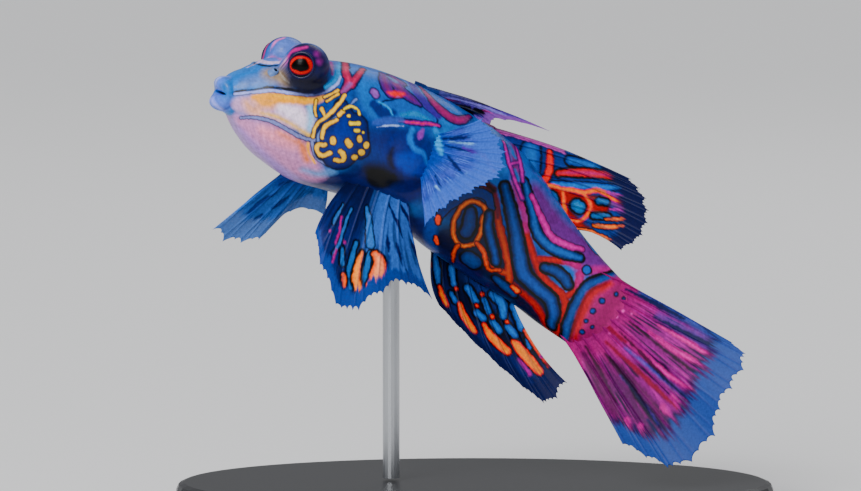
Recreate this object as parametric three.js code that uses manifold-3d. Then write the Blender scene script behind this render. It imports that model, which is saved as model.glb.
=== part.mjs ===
// A life-size mandarinfish, a small bright dragonet, climbing through open water, its tail hanging low.
// Units are millimetres and +Z is up. The origin is the middle of the stand's underside. The fish looks
// towards -X and its left flank faces -Y.
import * as THREE from "three";
import { mergeVertices } from "three/addons/utils/BufferGeometryUtils.js";
import Module from "manifold-3d";

const wasm = await Module();
wasm.setup();

// Rings along each length of the body and sides round it.
const HEAD_RINGS = 30;
const TRUNK_RINGS = 13;
const STALK_RINGS = 8;
const BODY_SIDES = 36;
const STALK_SIDES = 28;
const CUT_RINGS = 72;
const CUT_SIDES = 48;

const JOINT_GAP = 0.3;
const SMALL = 0.01;
const DEGREE = Math.PI / 180;

// Stations along the spine from the mouth to the root of the tail fin: where the spine is, how far the back
// and the belly are from it, half the body's width, and its roll in degrees, which tips its left side down.
const STATIONS = [
  { name: "mouth", x: -24.6, y: -6.2, z: 43.3, back: 1.7, belly: 1.8, side: 1.9, roll: 4 },
  { name: "snout", x: -23.5, y: -5.7, z: 43.1, back: 2.7, belly: 2.5, side: 2.8, roll: 4 },
  { name: "cheek", x: -21.8, y: -4.9, z: 42.5, back: 4.4, belly: 4.0, side: 4.0, roll: 4 },
  { name: "eye", x: -19.5, y: -3.9, z: 41.6, back: 5.5, belly: 5.3, side: 5.0, roll: 4 },
  { name: "brow", x: -16.5, y: -2.7, z: 40.6, back: 6.1, belly: 6.3, side: 5.6, roll: 4 },
  { name: "gill", x: -13.0, y: -1.5, z: 39.4, back: 6.7, belly: 6.3, side: 5.9, roll: 3 },
  { name: "shoulder", x: -9.0, y: -0.4, z: 37.7, back: 6.9, belly: 6.0, side: 5.7, roll: 2 },
  { name: "chest", x: -5.0, y: 0.4, z: 35.5, back: 7.0, belly: 6.1, side: 5.3, roll: 1 },
  { name: "waist", x: -1.0, y: 0.8, z: 32.4, back: 7.3, belly: 6.3, side: 4.6, roll: 0 },
  { name: "vent", x: 2.5, y: 0.7, z: 29.1, back: 6.8, belly: 5.6, side: 3.8, roll: 0 },
  { name: "flank", x: 6.0, y: 0.2, z: 26.0, back: 5.7, belly: 4.7, side: 2.9, roll: 0 },
  { name: "stalk", x: 9.0, y: -0.5, z: 23.5, back: 4.9, belly: 4.5, side: 2.1, roll: 0 },
  { name: "tail_root", x: 11.6, y: -1.2, z: 21.4, back: 4.4, belly: 4.2, side: 1.3, roll: 0 },
];
const LAST_STATION = STATIONS.length - 1;
const SECTION_POWER = 2.2;
// How strongly the plain section counts against the swellings that melt into it, the farthest that a
// swelling stands out of it, and the step in which the skin is looked for from outside.
const SECTION_SHARE = 0.92;
const SWELLING_REACH = 4.5;
const SKIN_STEP = 0.1;
// The flat end of the snout is smaller than its section, which rounds the muzzle.
const MUZZLE_SHARE = 0.72;

// Eyes stand up from the head in two round turrets and look out and forward.
const EYE = {
  at: 3.08,
  rise: 4.85,
  apart: 3.0,
  turret: 2.35,
  ball: 1.5,
  push: 1.1,
  forward: 34 * DEGREE,
  blend: 0.7,
  rim: 1.95,
  rimThick: 0.24,
};
// A low swelling for each gill cover, and the fleshy lobe that each pectoral fin grows from.
const GILL_COVER = { at: 4.6, rise: -0.9, apart: 4.0, radii: [3.2, 2.3, 3.6], blend: 1.0 };
const FIN_LOBE = { at: 6.35, rise: -0.2, apart: 4.5, radii: [2.8, 1.9, 2.7], blend: 0.8 };
const NOSTRIL = { at: 1.95, angle: 50 * DEGREE, radius: 0.36, height: 0.35, hole: 0.17 };

// Where the head ends and the tail stalk begins, counted in stations.
const HEAD_END = 5.7;
const STALK_START = 9.6;

// Lips: a fleshy roll above the mouth and a thicker one below it, each bent round half of the snout's end.
const LIPS = {
  upper: { half: 1.5, height: 0.8, thick: 0.6, end: 0.36, pout: 0.65, turn: 1 },
  lower: { half: 1.4, height: 0.85, thick: 0.72, end: 0.4, pout: 0.6, turn: -1 },
};
const LIP_STEPS = 12;
const LIP_SIDES = 10;
const LIP_START = 12 * DEGREE;

// Each fin is a fan of rays with skin between them. Its roots run over the skin from one place, a station
// and an angle round the body, to another, and the line of its tips goes smoothly through the points given,
// first ray to last. A ray bows out of its straight line by the given vector, and the skin ends short of the
// tips by the notch.
const FINS = {
  dorsal_fin_first: {
    rays: 4,
    base: [6.25, 7.2],
    angle: [90, 90],
    tips: [
      [7.5, -0.4, 39.2],
      [3.0, -0.4, 40.3],
      [1.5, -0.1, 39.9],
      [0.0, 0.3, 40.0],
    ],
    bow: [0, 0, 0.45],
    rows: 9,
    notch: 0.25,
    sink: 1.2,
  },
  dorsal_fin_second: {
    rays: 8,
    base: [7.6, 10.3],
    angle: [90, 90],
    tips: [
      [15.6, -2.0, 34.5],
      [16.9, -2.4, 32.9],
      [17.3, -2.6, 30.8],
      [16.5, -2.4, 28.7],
      [14.6, -1.9, 27.4],
    ],
    bow: [0, 0.3, 0.4],
    rows: 10,
    notch: 0.06,
    sink: 1.6,
  },
  anal_fin: {
    rays: 8,
    base: [8.25, 10.2],
    angle: [-90, -90],
    tips: [
      [-3.5, -1.5, 21.8],
      [-0.5, -2.0, 18.6],
      [3.7, -2.5, 14.7],
      [7.3, -3.0, 12.1],
      [9.2, -2.6, 14.2],
    ],
    bow: [-0.4, 0, -0.4],
    rows: 9,
    notch: 0.07,
    sink: 1.6,
  },
  pectoral_fin: {
    rays: 12,
    base: [6.75, 6.85],
    angle: [36, -10],
    tips: [
      [0.7, -8.5, 41.0],
      [2.6, -9.5, 38.9],
      [2.9, -10.0, 35.8],
      [0.2, -10.0, 34.0],
      [-2.7, -9.5, 32.4],
      [-5.0, -8.8, 30.3],
    ],
    bow: [0, -0.6, 0],
    rows: 7,
    notch: 0.06,
    sink: 1.4,
  },
  pelvic_fin_left: {
    rays: 7,
    base: [5.2, 7.0],
    angle: [-50, -46],
    tips: [
      [-15.8, -7.8, 29.6],
      [-15.1, -9.0, 26.0],
      [-12.9, -9.5, 21.8],
      [-10.0, -9.0, 23.2],
      [-7.3, -7.6, 24.6],
      [-4.3, -5.4, 22.9],
    ],
    bow: [-0.4, -0.7, 0],
    rows: 8,
    notch: 0.09,
    sink: 1.5,
  },
  pelvic_fin_right: {
    rays: 6,
    base: [4.15, 5.2],
    angle: [-118, -128],
    tips: [
      [-26.3, 2.0, 29.2],
      [-25.4, 3.0, 27.9],
      [-23.6, 3.6, 27.7],
      [-21.8, 3.9, 28.0],
      [-18.6, 4.3, 30.8],
      [-15.2, 4.6, 30.4],
    ],
    bow: [0.3, 0.5, 0.3],
    rows: 8,
    notch: 0.1,
    sink: 1.5,
  },
  caudal_fin: {
    rays: 10,
    base: [11.9, 11.9],
    spread: [4.1, -3.9],
    tips: [
      [25.5, -5.0, 18.5],
      [26.9, -6.0, 17.1],
      [25.9, -6.6, 14.9],
      [24.3, -7.0, 12.4],
      [23.5, -7.0, 9.1],
      [20.3, -6.9, 6.2],
      [17.6, -6.5, 6.9],
      [14.6, -6.0, 8.5],
    ],
    bow: [0, 0.6, 0],
    rows: 11,
    notch: 0.05,
    sink: 1.6,
  },
};
const MEMBRANE = 0.5;
const RAY_THICKNESS = 0.86;
const EDGE_THICKNESS = 0.3;
// Across each gap between two rays: the crest of the first ray and the flat skin on both sides of the gap.
const CREST_STEPS = [0, 0.27, 0.73];
// From this share of its length a ray and its skin thin down to the edge.
const THINNING = 0.6;

// The stand: an oval plate on the table and one slim rod up to the belly.
const STAND = { length: 60, width: 36, thick: 4, bevel: 0.8, rod: 0.85, rodAt: [-8.4, 0.4], segments: 32 };

function finish(color, roughness, metalness = 0) {
  return new THREE.MeshStandardMaterial({ color, roughness, metalness });
}

const FINISHES = {
  skin: finish(0x1560a8, 0.35),
  lip: finish(0x7d9fd6, 0.4),
  eye: finish(0xc8283c, 0.15),
  fin: finish(0x1c4fa0, 0.45),
  tail: finish(0xb01a80, 0.45),
  base: finish(0x1c1c1e, 0.4),
  rod: finish(0xb8bcc2, 0.3, 1),
};

// The spine and its sizes run through the stations as one smooth curve.
function throughStations(key, t) {
  const at = Math.min(Math.max(t, 0), LAST_STATION);
  const i = Math.min(Math.floor(at), LAST_STATION - 1);
  const f = at - i;
  const value = (k) => {
    if (k < 0) return 2 * STATIONS[0][key] - STATIONS[1][key];
    if (k > LAST_STATION) return 2 * STATIONS[LAST_STATION][key] - STATIONS[LAST_STATION - 1][key];
    return STATIONS[k][key];
  };
  const [p, q, r, s] = [value(i - 1), value(i), value(i + 1), value(i + 2)];
  return q + 0.5 * f * (r - p + f * (2 * p - 5 * q + 4 * r - s + f * (3 * (q - r) + s - p)));
}

function spinePoint(t) {
  return new THREE.Vector3(throughStations("x", t), throughStations("y", t), throughStations("z", t));
}

// The directions at a place on the spine: back towards the tail, up to the back, and out to the left side.
function spineFrame(t) {
  const behind = spinePoint(Math.min(t + 2 * SMALL, LAST_STATION));
  const back = behind.sub(spinePoint(Math.max(t - 2 * SMALL, 0))).normalize();
  const up = new THREE.Vector3(0, 0, 1).addScaledVector(back, -back.z).normalize();
  up.applyAxisAngle(back, throughStations("roll", t) * DEGREE);
  const left = new THREE.Vector3().crossVectors(back, up);
  return { at: spinePoint(t), back, up, left };
}

// A point given by how far it is up and left of the spine at station t.
function beside(t, up, left) {
  const frame = spineFrame(t);
  return frame.at.addScaledVector(frame.up, up).addScaledVector(frame.left, left);
}

// A round or oval swelling that melts into the body.
function swelling({ at, rise, apart, radii, blend }, side) {
  const frame = spineFrame(at);
  return { centre: beside(at, rise, apart * side), radii, blend, frame };
}

const SWELLINGS = [1, -1].flatMap((side) => [
  swelling({ ...EYE, radii: [EYE.turret, EYE.turret, EYE.turret] }, side),
  swelling(GILL_COVER, side),
  swelling(FIN_LOBE, side),
]);

// Roughly how far a point is outside a swelling.
function outsideSwelling(point, { centre, radii, frame }) {
  const d = point.clone().sub(centre);
  const local = [d.dot(frame.back), d.dot(frame.left), d.dot(frame.up)];
  const near = Math.hypot(...local.map((v, i) => v / radii[i]));
  const steep = Math.hypot(...local.map((v, i) => v / radii[i] ** 2));
  return steep === 0 ? -Math.min(...radii) : (near * (near - 1)) / steep;
}

function smoothMin(a, b, blend) {
  const h = Math.max(blend - Math.abs(a - b), 0) / blend;
  return Math.min(a, b) - 0.25 * h * h * blend;
}

// The plain section of the body at station t, towards an angle counted from the left side up to the back.
function sectionRadius(t, angle) {
  const height = throughStations(Math.sin(angle) >= 0 ? "back" : "belly", t);
  const across = Math.abs(Math.cos(angle)) / throughStations("side", t);
  const along = Math.abs(Math.sin(angle)) / height;
  return (across ** SECTION_POWER + along ** SECTION_POWER) ** (-1 / SECTION_POWER);
}

// The skin's distance from the spine with the swellings melted in, found by walking in from outside.
function skinRadius(t, angle, grow = 0) {
  const frame = spineFrame(t);
  const sideways = frame.left.clone().multiplyScalar(Math.cos(angle));
  const ray = sideways.addScaledVector(frame.up, Math.sin(angle));
  const plain = sectionRadius(t, angle);
  const outside = (r) => {
    const point = frame.at.clone().addScaledVector(ray, r);
    let d = SECTION_SHARE * (r - plain);
    for (const s of SWELLINGS) d = smoothMin(d, outsideSwelling(point, s), s.blend);
    return d - grow;
  };
  let far = plain + SWELLING_REACH;
  let farValue = outside(far);
  for (let r = far - SKIN_STEP; r > 0.3 * plain; r -= SKIN_STEP) {
    const value = outside(r);
    if (value <= 0) return r + (SKIN_STEP * -value) / (farValue - value);
    far = r;
    farValue = value;
  }
  return plain + grow;
}

function skinPoint(t, angle, grow = 0) {
  const radius = skinRadius(t, angle, grow);
  return beside(t, radius * Math.sin(angle), radius * Math.cos(angle));
}

// A closed geometry from rows of points that run round a body, with a point in the middle of each end.
function closedRings(rings) {
  const around = rings[0].length;
  const points = rings.flat();
  const index = [];
  rings.slice(1).forEach((_, j) => {
    for (let i = 0; i < around; i++) {
      const [a, b] = [j * around + i, j * around + ((i + 1) % around)];
      index.push(a, a + around, b, b, a + around, b + around);
    }
  });
  [rings[0], rings.at(-1)].forEach((ring, end) => {
    const middle = ring.reduce((sum, p) => sum.add(p), new THREE.Vector3()).divideScalar(around);
    const first = end * (rings.length - 1) * around;
    points.push(middle);
    for (let i = 0; i < around; i++) {
      const [a, b] = [first + i, first + ((i + 1) % around)];
      index.push(...(end ? [a, points.length - 1, b] : [a, b, points.length - 1]));
    }
  });
  return new THREE.BufferGeometry().setFromPoints(points).setIndex(index);
}

function solid(geometry) {
  const bare = geometry.clone();
  bare.deleteAttribute("normal");
  bare.deleteAttribute("uv");
  const merged = mergeVertices(bare, 1e-4);
  const made = new wasm.Manifold(
    new wasm.Mesh({
      numProp: 3,
      vertProperties: merged.attributes.position.array,
      triVerts: new Uint32Array(merged.index.array),
    }),
  );
  if (made.volume() >= 0) return made;
  const turned = new Uint32Array(merged.index.array);
  for (let i = 0; i < turned.length; i += 3) {
    [turned[i + 1], turned[i + 2]] = [turned[i + 2], turned[i + 1]];
  }
  return new wasm.Manifold(
    new wasm.Mesh({ numProp: 3, vertProperties: merged.attributes.position.array, triVerts: turned }),
  );
}

function largestBody(body) {
  return body.decompose().reduce((best, b) => (b.volume() > best.volume() ? b : best));
}

function geometryOf(body) {
  const mesh = largestBody(body).getMesh();
  const positions = new Float32Array(mesh.numVert * 3);
  for (let i = 0; i < mesh.numVert; i++) {
    positions.set(mesh.vertProperties.subarray(i * mesh.numProp, i * mesh.numProp + 3), i * 3);
  }
  const geometry = new THREE.BufferGeometry()
    .setAttribute("position", new THREE.BufferAttribute(positions, 3))
    .setIndex(new THREE.BufferAttribute(mesh.triVerts, 1));
  geometry.computeVertexNormals();
  return geometry;
}

// A length of the body between two stations, with more rings where the shape changes fast.
function bodyLength(from, to, steps, around, grow = 0) {
  const rings = [];
  for (let j = 0; j <= steps; j++) {
    const t = from + ((to - from) * j) / steps;
    const blunt = t < SMALL ? MUZZLE_SHARE : 1;
    rings.push(
      Array.from({ length: around }, (_, i) => {
        const angle = (2 * Math.PI * (i + 0.5)) / around;
        const radius = blunt * skinRadius(t, angle, grow);
        return beside(t, radius * Math.sin(angle), radius * Math.cos(angle));
      }),
    );
  }
  return solid(closedRings(rings));
}

function stationsPerMillimetre(t) {
  return (4 * SMALL) / spinePoint(t + 2 * SMALL).distanceTo(spinePoint(t - 2 * SMALL));
}

function ball(centre, radius, detail) {
  const [x, y, z] = centre.toArray();
  return solid(new THREE.SphereGeometry(radius, detail, Math.round(detail / 2)).translate(x, y, z));
}

// A cylinder is made standing along Y.
const UP_Y = new THREE.Vector3(0, 1, 0);

// A round bar from one point to another.
function bar(from, to, radius, sides) {
  const along = to.clone().sub(from);
  const geometry = new THREE.CylinderGeometry(radius, radius, along.length(), sides);
  const turn = new THREE.Quaternion().setFromUnitVectors(UP_Y, along.clone().normalize());
  const middle = from.clone().add(to).multiplyScalar(0.5);
  return solid(geometry.applyQuaternion(turn).translate(...middle.toArray()));
}

// The whole body grown by the joint gap, also past both ends, to cut everything that is set against it.
function grownBody() {
  const grown = (from, to, rings) => bodyLength(from, to, rings, CUT_SIDES, JOINT_GAP);
  const forward = spineFrame(0).back.multiplyScalar(-JOINT_GAP);
  const backward = spineFrame(LAST_STATION).back.multiplyScalar(JOINT_GAP);
  const muzzle = grown(0, 1, 8).translate(forward.toArray());
  const stalkEnd = grown(LAST_STATION - 1, LAST_STATION, 4).translate(backward.toArray());
  return grown(0, LAST_STATION, CUT_RINGS).add(muzzle).add(stalkEnd);
}

const bodyWithGap = grownBody();

// Eyes: a ball sunk in each turret, with its socket cut from the head.
function eyeLook(side) {
  const frame = spineFrame(EYE.at);
  const outward = frame.left.multiplyScalar(side * Math.cos(EYE.forward));
  return outward.addScaledVector(frame.back, -Math.sin(EYE.forward));
}

function eyeCentre(side) {
  return beside(EYE.at, EYE.rise, EYE.apart * side).addScaledVector(eyeLook(side), EYE.push);
}

// The fleshy ring round each eye, on the edge of its socket.
function eyeRim(side) {
  const look = eyeLook(side);
  const turn = new THREE.Quaternion().setFromUnitVectors(new THREE.Vector3(0, 0, 1), look);
  const ahead = Math.sqrt(EYE.turret ** 2 - EYE.rim ** 2);
  const middle = beside(EYE.at, EYE.rise, EYE.apart * side).addScaledVector(look, ahead);
  const ring = new THREE.TorusGeometry(EYE.rim, EYE.rimThick, 6, 24).applyQuaternion(turn);
  return solid(ring.translate(...middle.toArray()));
}

// Nostrils: a short tube on each side of the snout.
function nostril(side) {
  const angle = side > 0 ? NOSTRIL.angle : Math.PI - NOSTRIL.angle;
  const foot = skinPoint(NOSTRIL.at, angle, -NOSTRIL.height);
  const rim = skinPoint(NOSTRIL.at, angle, NOSTRIL.height);
  return bar(foot, rim, NOSTRIL.radius, 10).subtract(
    bar(foot.clone().lerp(rim, 0.45), rim.clone().lerp(foot, -0.2), NOSTRIL.hole, 6),
  );
}

function head() {
  const end = HEAD_END - 0.5 * JOINT_GAP * stationsPerMillimetre(HEAD_END);
  let body = bodyLength(0, end, HEAD_RINGS, BODY_SIDES);
  for (const side of [1, -1]) {
    const socket = ball(eyeCentre(side), EYE.ball + JOINT_GAP, 24);
    body = body.add(eyeRim(side)).subtract(socket).add(nostril(side));
  }
  return body;
}

function trunk() {
  const start = HEAD_END + 0.5 * JOINT_GAP * stationsPerMillimetre(HEAD_END);
  const end = STALK_START - 0.5 * JOINT_GAP * stationsPerMillimetre(STALK_START);
  return bodyLength(start, end, TRUNK_RINGS, BODY_SIDES);
}

function tailStalk() {
  const start = STALK_START + 0.5 * JOINT_GAP * stationsPerMillimetre(STALK_START);
  return bodyLength(start, LAST_STATION, STALK_RINGS, STALK_SIDES);
}

function lip({ half, height, thick, end, pout, turn }) {
  const frame = spineFrame(0);
  const centreLine = (f) => {
    const angle = LIP_START + (Math.PI - 2 * LIP_START) * f;
    const forward = 0.3 * thick + pout * Math.sin(angle);
    return frame.at
      .clone()
      .addScaledVector(frame.left, half * Math.cos(angle))
      .addScaledVector(frame.up, turn * (height * Math.sin(angle) + JOINT_GAP / 2))
      .addScaledVector(frame.back, -forward);
  };
  const rings = [];
  for (let j = 0; j <= LIP_STEPS; j++) {
    const f = j / LIP_STEPS;
    const ahead = centreLine(Math.min(f + SMALL, 1));
    const along = ahead.sub(centreLine(Math.max(f - SMALL, 0))).normalize();
    const outward = frame.back.clone().negate();
    const across = new THREE.Vector3().crossVectors(along, outward).normalize();
    const round = Math.sqrt(Math.sin(Math.PI * (0.04 + 0.92 * f)));
    const radius = end + (thick - end) * Math.sin(Math.PI * f);
    rings.push(
      Array.from({ length: LIP_SIDES }, (_, i) => {
        const angle = (2 * Math.PI * i) / LIP_SIDES;
        return centreLine(f)
          .addScaledVector(outward, radius * round * Math.cos(angle))
          .addScaledVector(across, radius * round * Math.sin(angle));
      }),
    );
  }
  return solid(closedRings(rings)).subtract(bodyWithGap);
}

// Values given at even steps from the first ray of a fin to its last, read smoothly in between.
function between(values, f) {
  const at = Math.min(Math.max(f, 0), 1) * (values.length - 1);
  const i = Math.min(Math.floor(at), values.length - 2);
  const s = at - i;
  const value = (k) => {
    if (k < 0) return 2 * values[0] - values[1];
    if (k >= values.length) return 2 * values.at(-1) - values.at(-2);
    return values[k];
  };
  const [p, q, r, t] = [value(i - 1), value(i), value(i + 1), value(i + 2)];
  return q + 0.5 * s * (r - p + s * (2 * p - 5 * q + 4 * r - t + s * (3 * (q - r) + t - p)));
}

// The point where a fin's ray leaves the body, f of the way from the first ray to the last.
function finRoot(fin, side, f) {
  const station = fin.base[0] + (fin.base[1] - fin.base[0]) * f;
  if (fin.spread) return beside(station, fin.spread[0] + (fin.spread[1] - fin.spread[0]) * f, 0);
  const angle = (fin.angle[0] + (fin.angle[1] - fin.angle[0]) * f) * DEGREE;
  return skinPoint(station, side > 0 ? angle : Math.PI - angle);
}

// The point where it ends. A fin on the right side is the left one mirrored through the middle of the body.
function finTip(fin, side, f) {
  const along = (axis) => between(fin.tips.map((point) => point[axis]), f);
  const tip = new THREE.Vector3(along(0), along(1), along(2));
  if (side > 0) return tip;
  const frame = spineFrame(fin.base[0]);
  return tip.addScaledVector(frame.left, -2 * tip.clone().sub(frame.at).dot(frame.left));
}

// A point of the fin, v of the way along its ray from inside the body to the edge of the skin.
function finPoint(fin, side, f, v, crest) {
  const root = finRoot(fin, side, f);
  const ray = finTip(fin, side, f).sub(root);
  const reach = ray.length();
  const along = (-fin.sink + (reach * (1 - fin.notch * (1 - crest)) + fin.sink) * v) / reach;
  const bow = new THREE.Vector3(...fin.bow);
  if (side < 0) bow.reflect(spineFrame(fin.base[0]).left);
  return root.addScaledVector(ray, along).addScaledVector(bow, 4 * Math.max(along, 0) * (1 - along));
}

function fin(shape, side = 1) {
  const gaps = shape.rays - 1;
  const columns = [];
  for (let ray = 0; ray < gaps; ray++) {
    for (const step of CREST_STEPS) columns.push({ f: (ray + step) / gaps, crest: step === 0 ? 1 : 0 });
  }
  columns.push({ f: 1, crest: 1 });
  const faces = [[], []];
  for (const { f, crest } of columns) {
    for (let j = 0; j <= shape.rows; j++) {
      const v = j / shape.rows;
      const at = finPoint(shape, side, f, v, crest);
      const before = finPoint(shape, side, Math.max(f - SMALL, 0), v, crest);
      const after = finPoint(shape, side, Math.min(f + SMALL, 1), v, crest);
      const inner = finPoint(shape, side, f, Math.max(v - SMALL, 0), crest);
      const outer = finPoint(shape, side, f, Math.min(v + SMALL, 1), crest);
      const normal = new THREE.Vector3().crossVectors(outer.sub(inner), after.sub(before)).normalize();
      const full = MEMBRANE + (RAY_THICKNESS - MEMBRANE) * crest;
      const thick = full + (EDGE_THICKNESS - full) * Math.max(0, (v - THINNING) / (1 - THINNING)) ** 1.5;
      faces[0].push(at.clone().addScaledVector(normal, thick / 2));
      faces[1].push(at.clone().addScaledVector(normal, -thick / 2));
    }
  }
  return closedSheet(faces, columns.length, shape.rows + 1).subtract(bodyWithGap);
}

// Two faces of a sheet with the same triangles on both, closed along its four edges.
function closedSheet([upper, lower], wide, tall) {
  const index = [];
  const low = upper.length;
  const at = (i, j) => i * tall + j;
  for (let i = 0; i < wide - 1; i++) {
    for (let j = 0; j < tall - 1; j++) {
      const [a, b, c, d] = [at(i, j), at(i + 1, j), at(i + 1, j + 1), at(i, j + 1)];
      index.push(a, b, c, a, c, d);
      index.push(low + a, low + c, low + b, low + a, low + d, low + c);
    }
  }
  const rim = [];
  for (let i = 0; i < wide - 1; i++) rim.push(at(i, 0));
  for (let j = 0; j < tall - 1; j++) rim.push(at(wide - 1, j));
  for (let i = wide - 1; i > 0; i--) rim.push(at(i, tall - 1));
  for (let j = tall - 1; j > 0; j--) rim.push(at(0, j));
  rim.forEach((a, k) => {
    const b = rim[(k + 1) % rim.length];
    index.push(a, low + a, b, b, low + a, low + b);
  });
  return solid(new THREE.BufferGeometry().setFromPoints([...upper, ...lower]).setIndex(index));
}

function standBase() {
  const { length, width, thick, bevel, segments } = STAND;
  const [long, wide] = [length / 2 - bevel, width / 2 - bevel];
  const outline = new THREE.Shape().absellipse(0, 0, long, wide, 0, 2 * Math.PI, false, 0);
  const geometry = new THREE.ExtrudeGeometry(outline, {
    depth: thick - 2 * bevel,
    bevelThickness: bevel,
    bevelSize: bevel,
    bevelSegments: 2,
    curveSegments: segments,
  });
  return solid(geometry.translate(0, 0, bevel));
}

function standRod() {
  const [x, y] = STAND.rodAt;
  const foot = new THREE.Vector3(x, y, STAND.thick + JOINT_GAP);
  const top = new THREE.Vector3(x, y, spinePoint(6).z);
  return bar(foot, top, STAND.rod, 16).subtract(bodyWithGap);
}

const mandarinfish = new THREE.Group();

function add(name, body, material) {
  const mesh = new THREE.Mesh(geometryOf(body), material);
  mesh.name = name;
  mandarinfish.add(mesh);
}

add("head", head(), FINISHES.skin);
add("trunk", trunk(), FINISHES.skin);
add("tail_stalk", tailStalk(), FINISHES.skin);
add("upper_lip", lip(LIPS.upper), FINISHES.lip);
add("lower_lip", lip(LIPS.lower), FINISHES.lip);
for (const [name, side] of [["left", 1], ["right", -1]]) {
  add(`eye_${name}`, ball(eyeCentre(side), EYE.ball, 20), FINISHES.eye);
  add(`pectoral_fin_${name}`, fin(FINS.pectoral_fin, side), FINISHES.fin);
}
add("dorsal_fin_first", fin(FINS.dorsal_fin_first), FINISHES.fin);
add("dorsal_fin_second", fin(FINS.dorsal_fin_second), FINISHES.fin);
add("anal_fin", fin(FINS.anal_fin), FINISHES.fin);
add("pelvic_fin_left", fin(FINS.pelvic_fin_left), FINISHES.fin);
add("pelvic_fin_right", fin(FINS.pelvic_fin_right), FINISHES.fin);
add("caudal_fin", fin(FINS.caudal_fin), FINISHES.tail);
add("stand_base", standBase(), FINISHES.base);
add("stand_rod", standRod(), FINISHES.rod);

export default mandarinfish;
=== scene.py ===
"""Dresses the mandarinfish model: one painted skin, glossy eyes, rayed fins, the stand and a small studio.

Shapes are worked out in millimetres in the part's own frame and turned to metres when a mesh is made.
Markings are drawn as paths on the side picture, in millimetres across and down from its top left corner, and
laid on the skin.
"""

from __future__ import annotations

import logging
import math
from dataclasses import dataclass, field, replace
from enum import Enum

import bpy
import numpy as np
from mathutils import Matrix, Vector
from mathutils.kdtree import KDTree

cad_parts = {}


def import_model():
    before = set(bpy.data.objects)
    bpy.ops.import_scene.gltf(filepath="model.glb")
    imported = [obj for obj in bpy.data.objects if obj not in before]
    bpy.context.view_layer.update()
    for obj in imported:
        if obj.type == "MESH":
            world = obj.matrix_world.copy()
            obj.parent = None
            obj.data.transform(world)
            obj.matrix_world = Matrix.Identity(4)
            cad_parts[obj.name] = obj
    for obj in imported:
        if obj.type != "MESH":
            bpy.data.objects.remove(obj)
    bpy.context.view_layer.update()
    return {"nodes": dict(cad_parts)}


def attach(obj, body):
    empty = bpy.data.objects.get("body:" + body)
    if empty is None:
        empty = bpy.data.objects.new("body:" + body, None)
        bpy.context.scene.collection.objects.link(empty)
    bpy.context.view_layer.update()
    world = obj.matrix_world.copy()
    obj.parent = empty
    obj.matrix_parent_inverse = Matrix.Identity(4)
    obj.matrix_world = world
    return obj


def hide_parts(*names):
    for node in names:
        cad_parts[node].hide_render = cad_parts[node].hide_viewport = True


LOG = logging.getLogger("mandarinfish")
MM = 0.001
Array = np.ndarray
Piece = bpy.types.Object
Material = bpy.types.Material
Tree = bpy.types.NodeTree
Node = bpy.types.Node
Point = tuple[float, float]
Triple = tuple[float, float, float]

BRIGHTNESS_SHARES = np.array([0.21, 0.72, 0.07])
DARKENING = 0.6
ENRICHING = 1.75
LEAST_LIGHT = 0.0004
RIPPLE_WAVES = 9
RIPPLE_GAIN = 1.8
RIPPLE_SPREAD = (0.7, 1.6)
FAR = 9.0
POINT_PAINT = {"attribute_name": "paint", "attribute_type": "GEOMETRY"}


def linear(sheet: str) -> tuple[float, float, float]:
    """Turns an sRGB hex value to linear light.

    Args:
        sheet: The colour as six hex digits after a hash sign.

    Returns:
        Red, green and blue from 0 to 1.
    """
    parts = (int(sheet[i : i + 2], 16) / 255 for i in (1, 3, 5))
    return tuple(c / 12.92 if c <= 0.04045 else ((c + 0.055) / 1.055) ** 2.4 for c in parts)


def pigment(sheet: str) -> Array:
    """Linear colour of a paint that looks like an sRGB hex value once it lies under a clear coat.

    Bright light and the coat's shine wash a colour out, so the paint is darker and richer, with its hue kept.

    Args:
        sheet: The colour that the eye should see.

    Returns:
        Red, green and blue of the paint.
    """
    colour = np.array(linear(sheet))
    colour = colour * colour.max() ** DARKENING
    grey = colour @ BRIGHTNESS_SHARES
    return np.clip(grey + (colour - grey) * ENRICHING, LEAST_LIGHT, 1.0)


def unit(vectors: Array) -> Array:
    """Scales vectors in the last axis to length one."""
    return vectors / np.maximum(np.linalg.norm(vectors, axis=-1, keepdims=True), 1e-9)


def smooth_step(low: float, high: float, value: Array) -> Array:
    """Rises smoothly from 0 at low to 1 at high."""
    x = np.clip((value - low) / (high - low), 0, 1)
    return x * x * (3 - 2 * x)


def smooth_min(a: Array, b: Array, blend: float) -> Array:
    """The lesser of two distances, rounded where they are alike."""
    h = np.maximum(blend - np.abs(a - b), 0) / blend
    return np.minimum(a, b) - 0.25 * h * h * blend


def through(values: Array, at: Array) -> Array:
    """Reads a smooth curve that runs through values at whole numbers.

    Args:
        values: One row a step, with any number of columns.
        at: Where to read, counted in steps.

    Returns:
        The curve there, with the columns as the last axis.
    """
    values = np.asarray(values, float)
    last = len(values) - 1
    padded = np.concatenate([[2 * values[0] - values[1]], values, [2 * values[-1] - values[-2]]])
    at = np.clip(np.asarray(at, float), 0, last)
    i = np.minimum(at.astype(int), last - 1)
    f = (at - i)[..., None] if values.ndim > 1 else at - i
    p, q, r, s = padded[i], padded[i + 1], padded[i + 2], padded[i + 3]
    return q + 0.5 * f * (r - p + f * (2 * p - 5 * q + 4 * r - s + f * (3 * (q - r) + s - p)))


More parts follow.
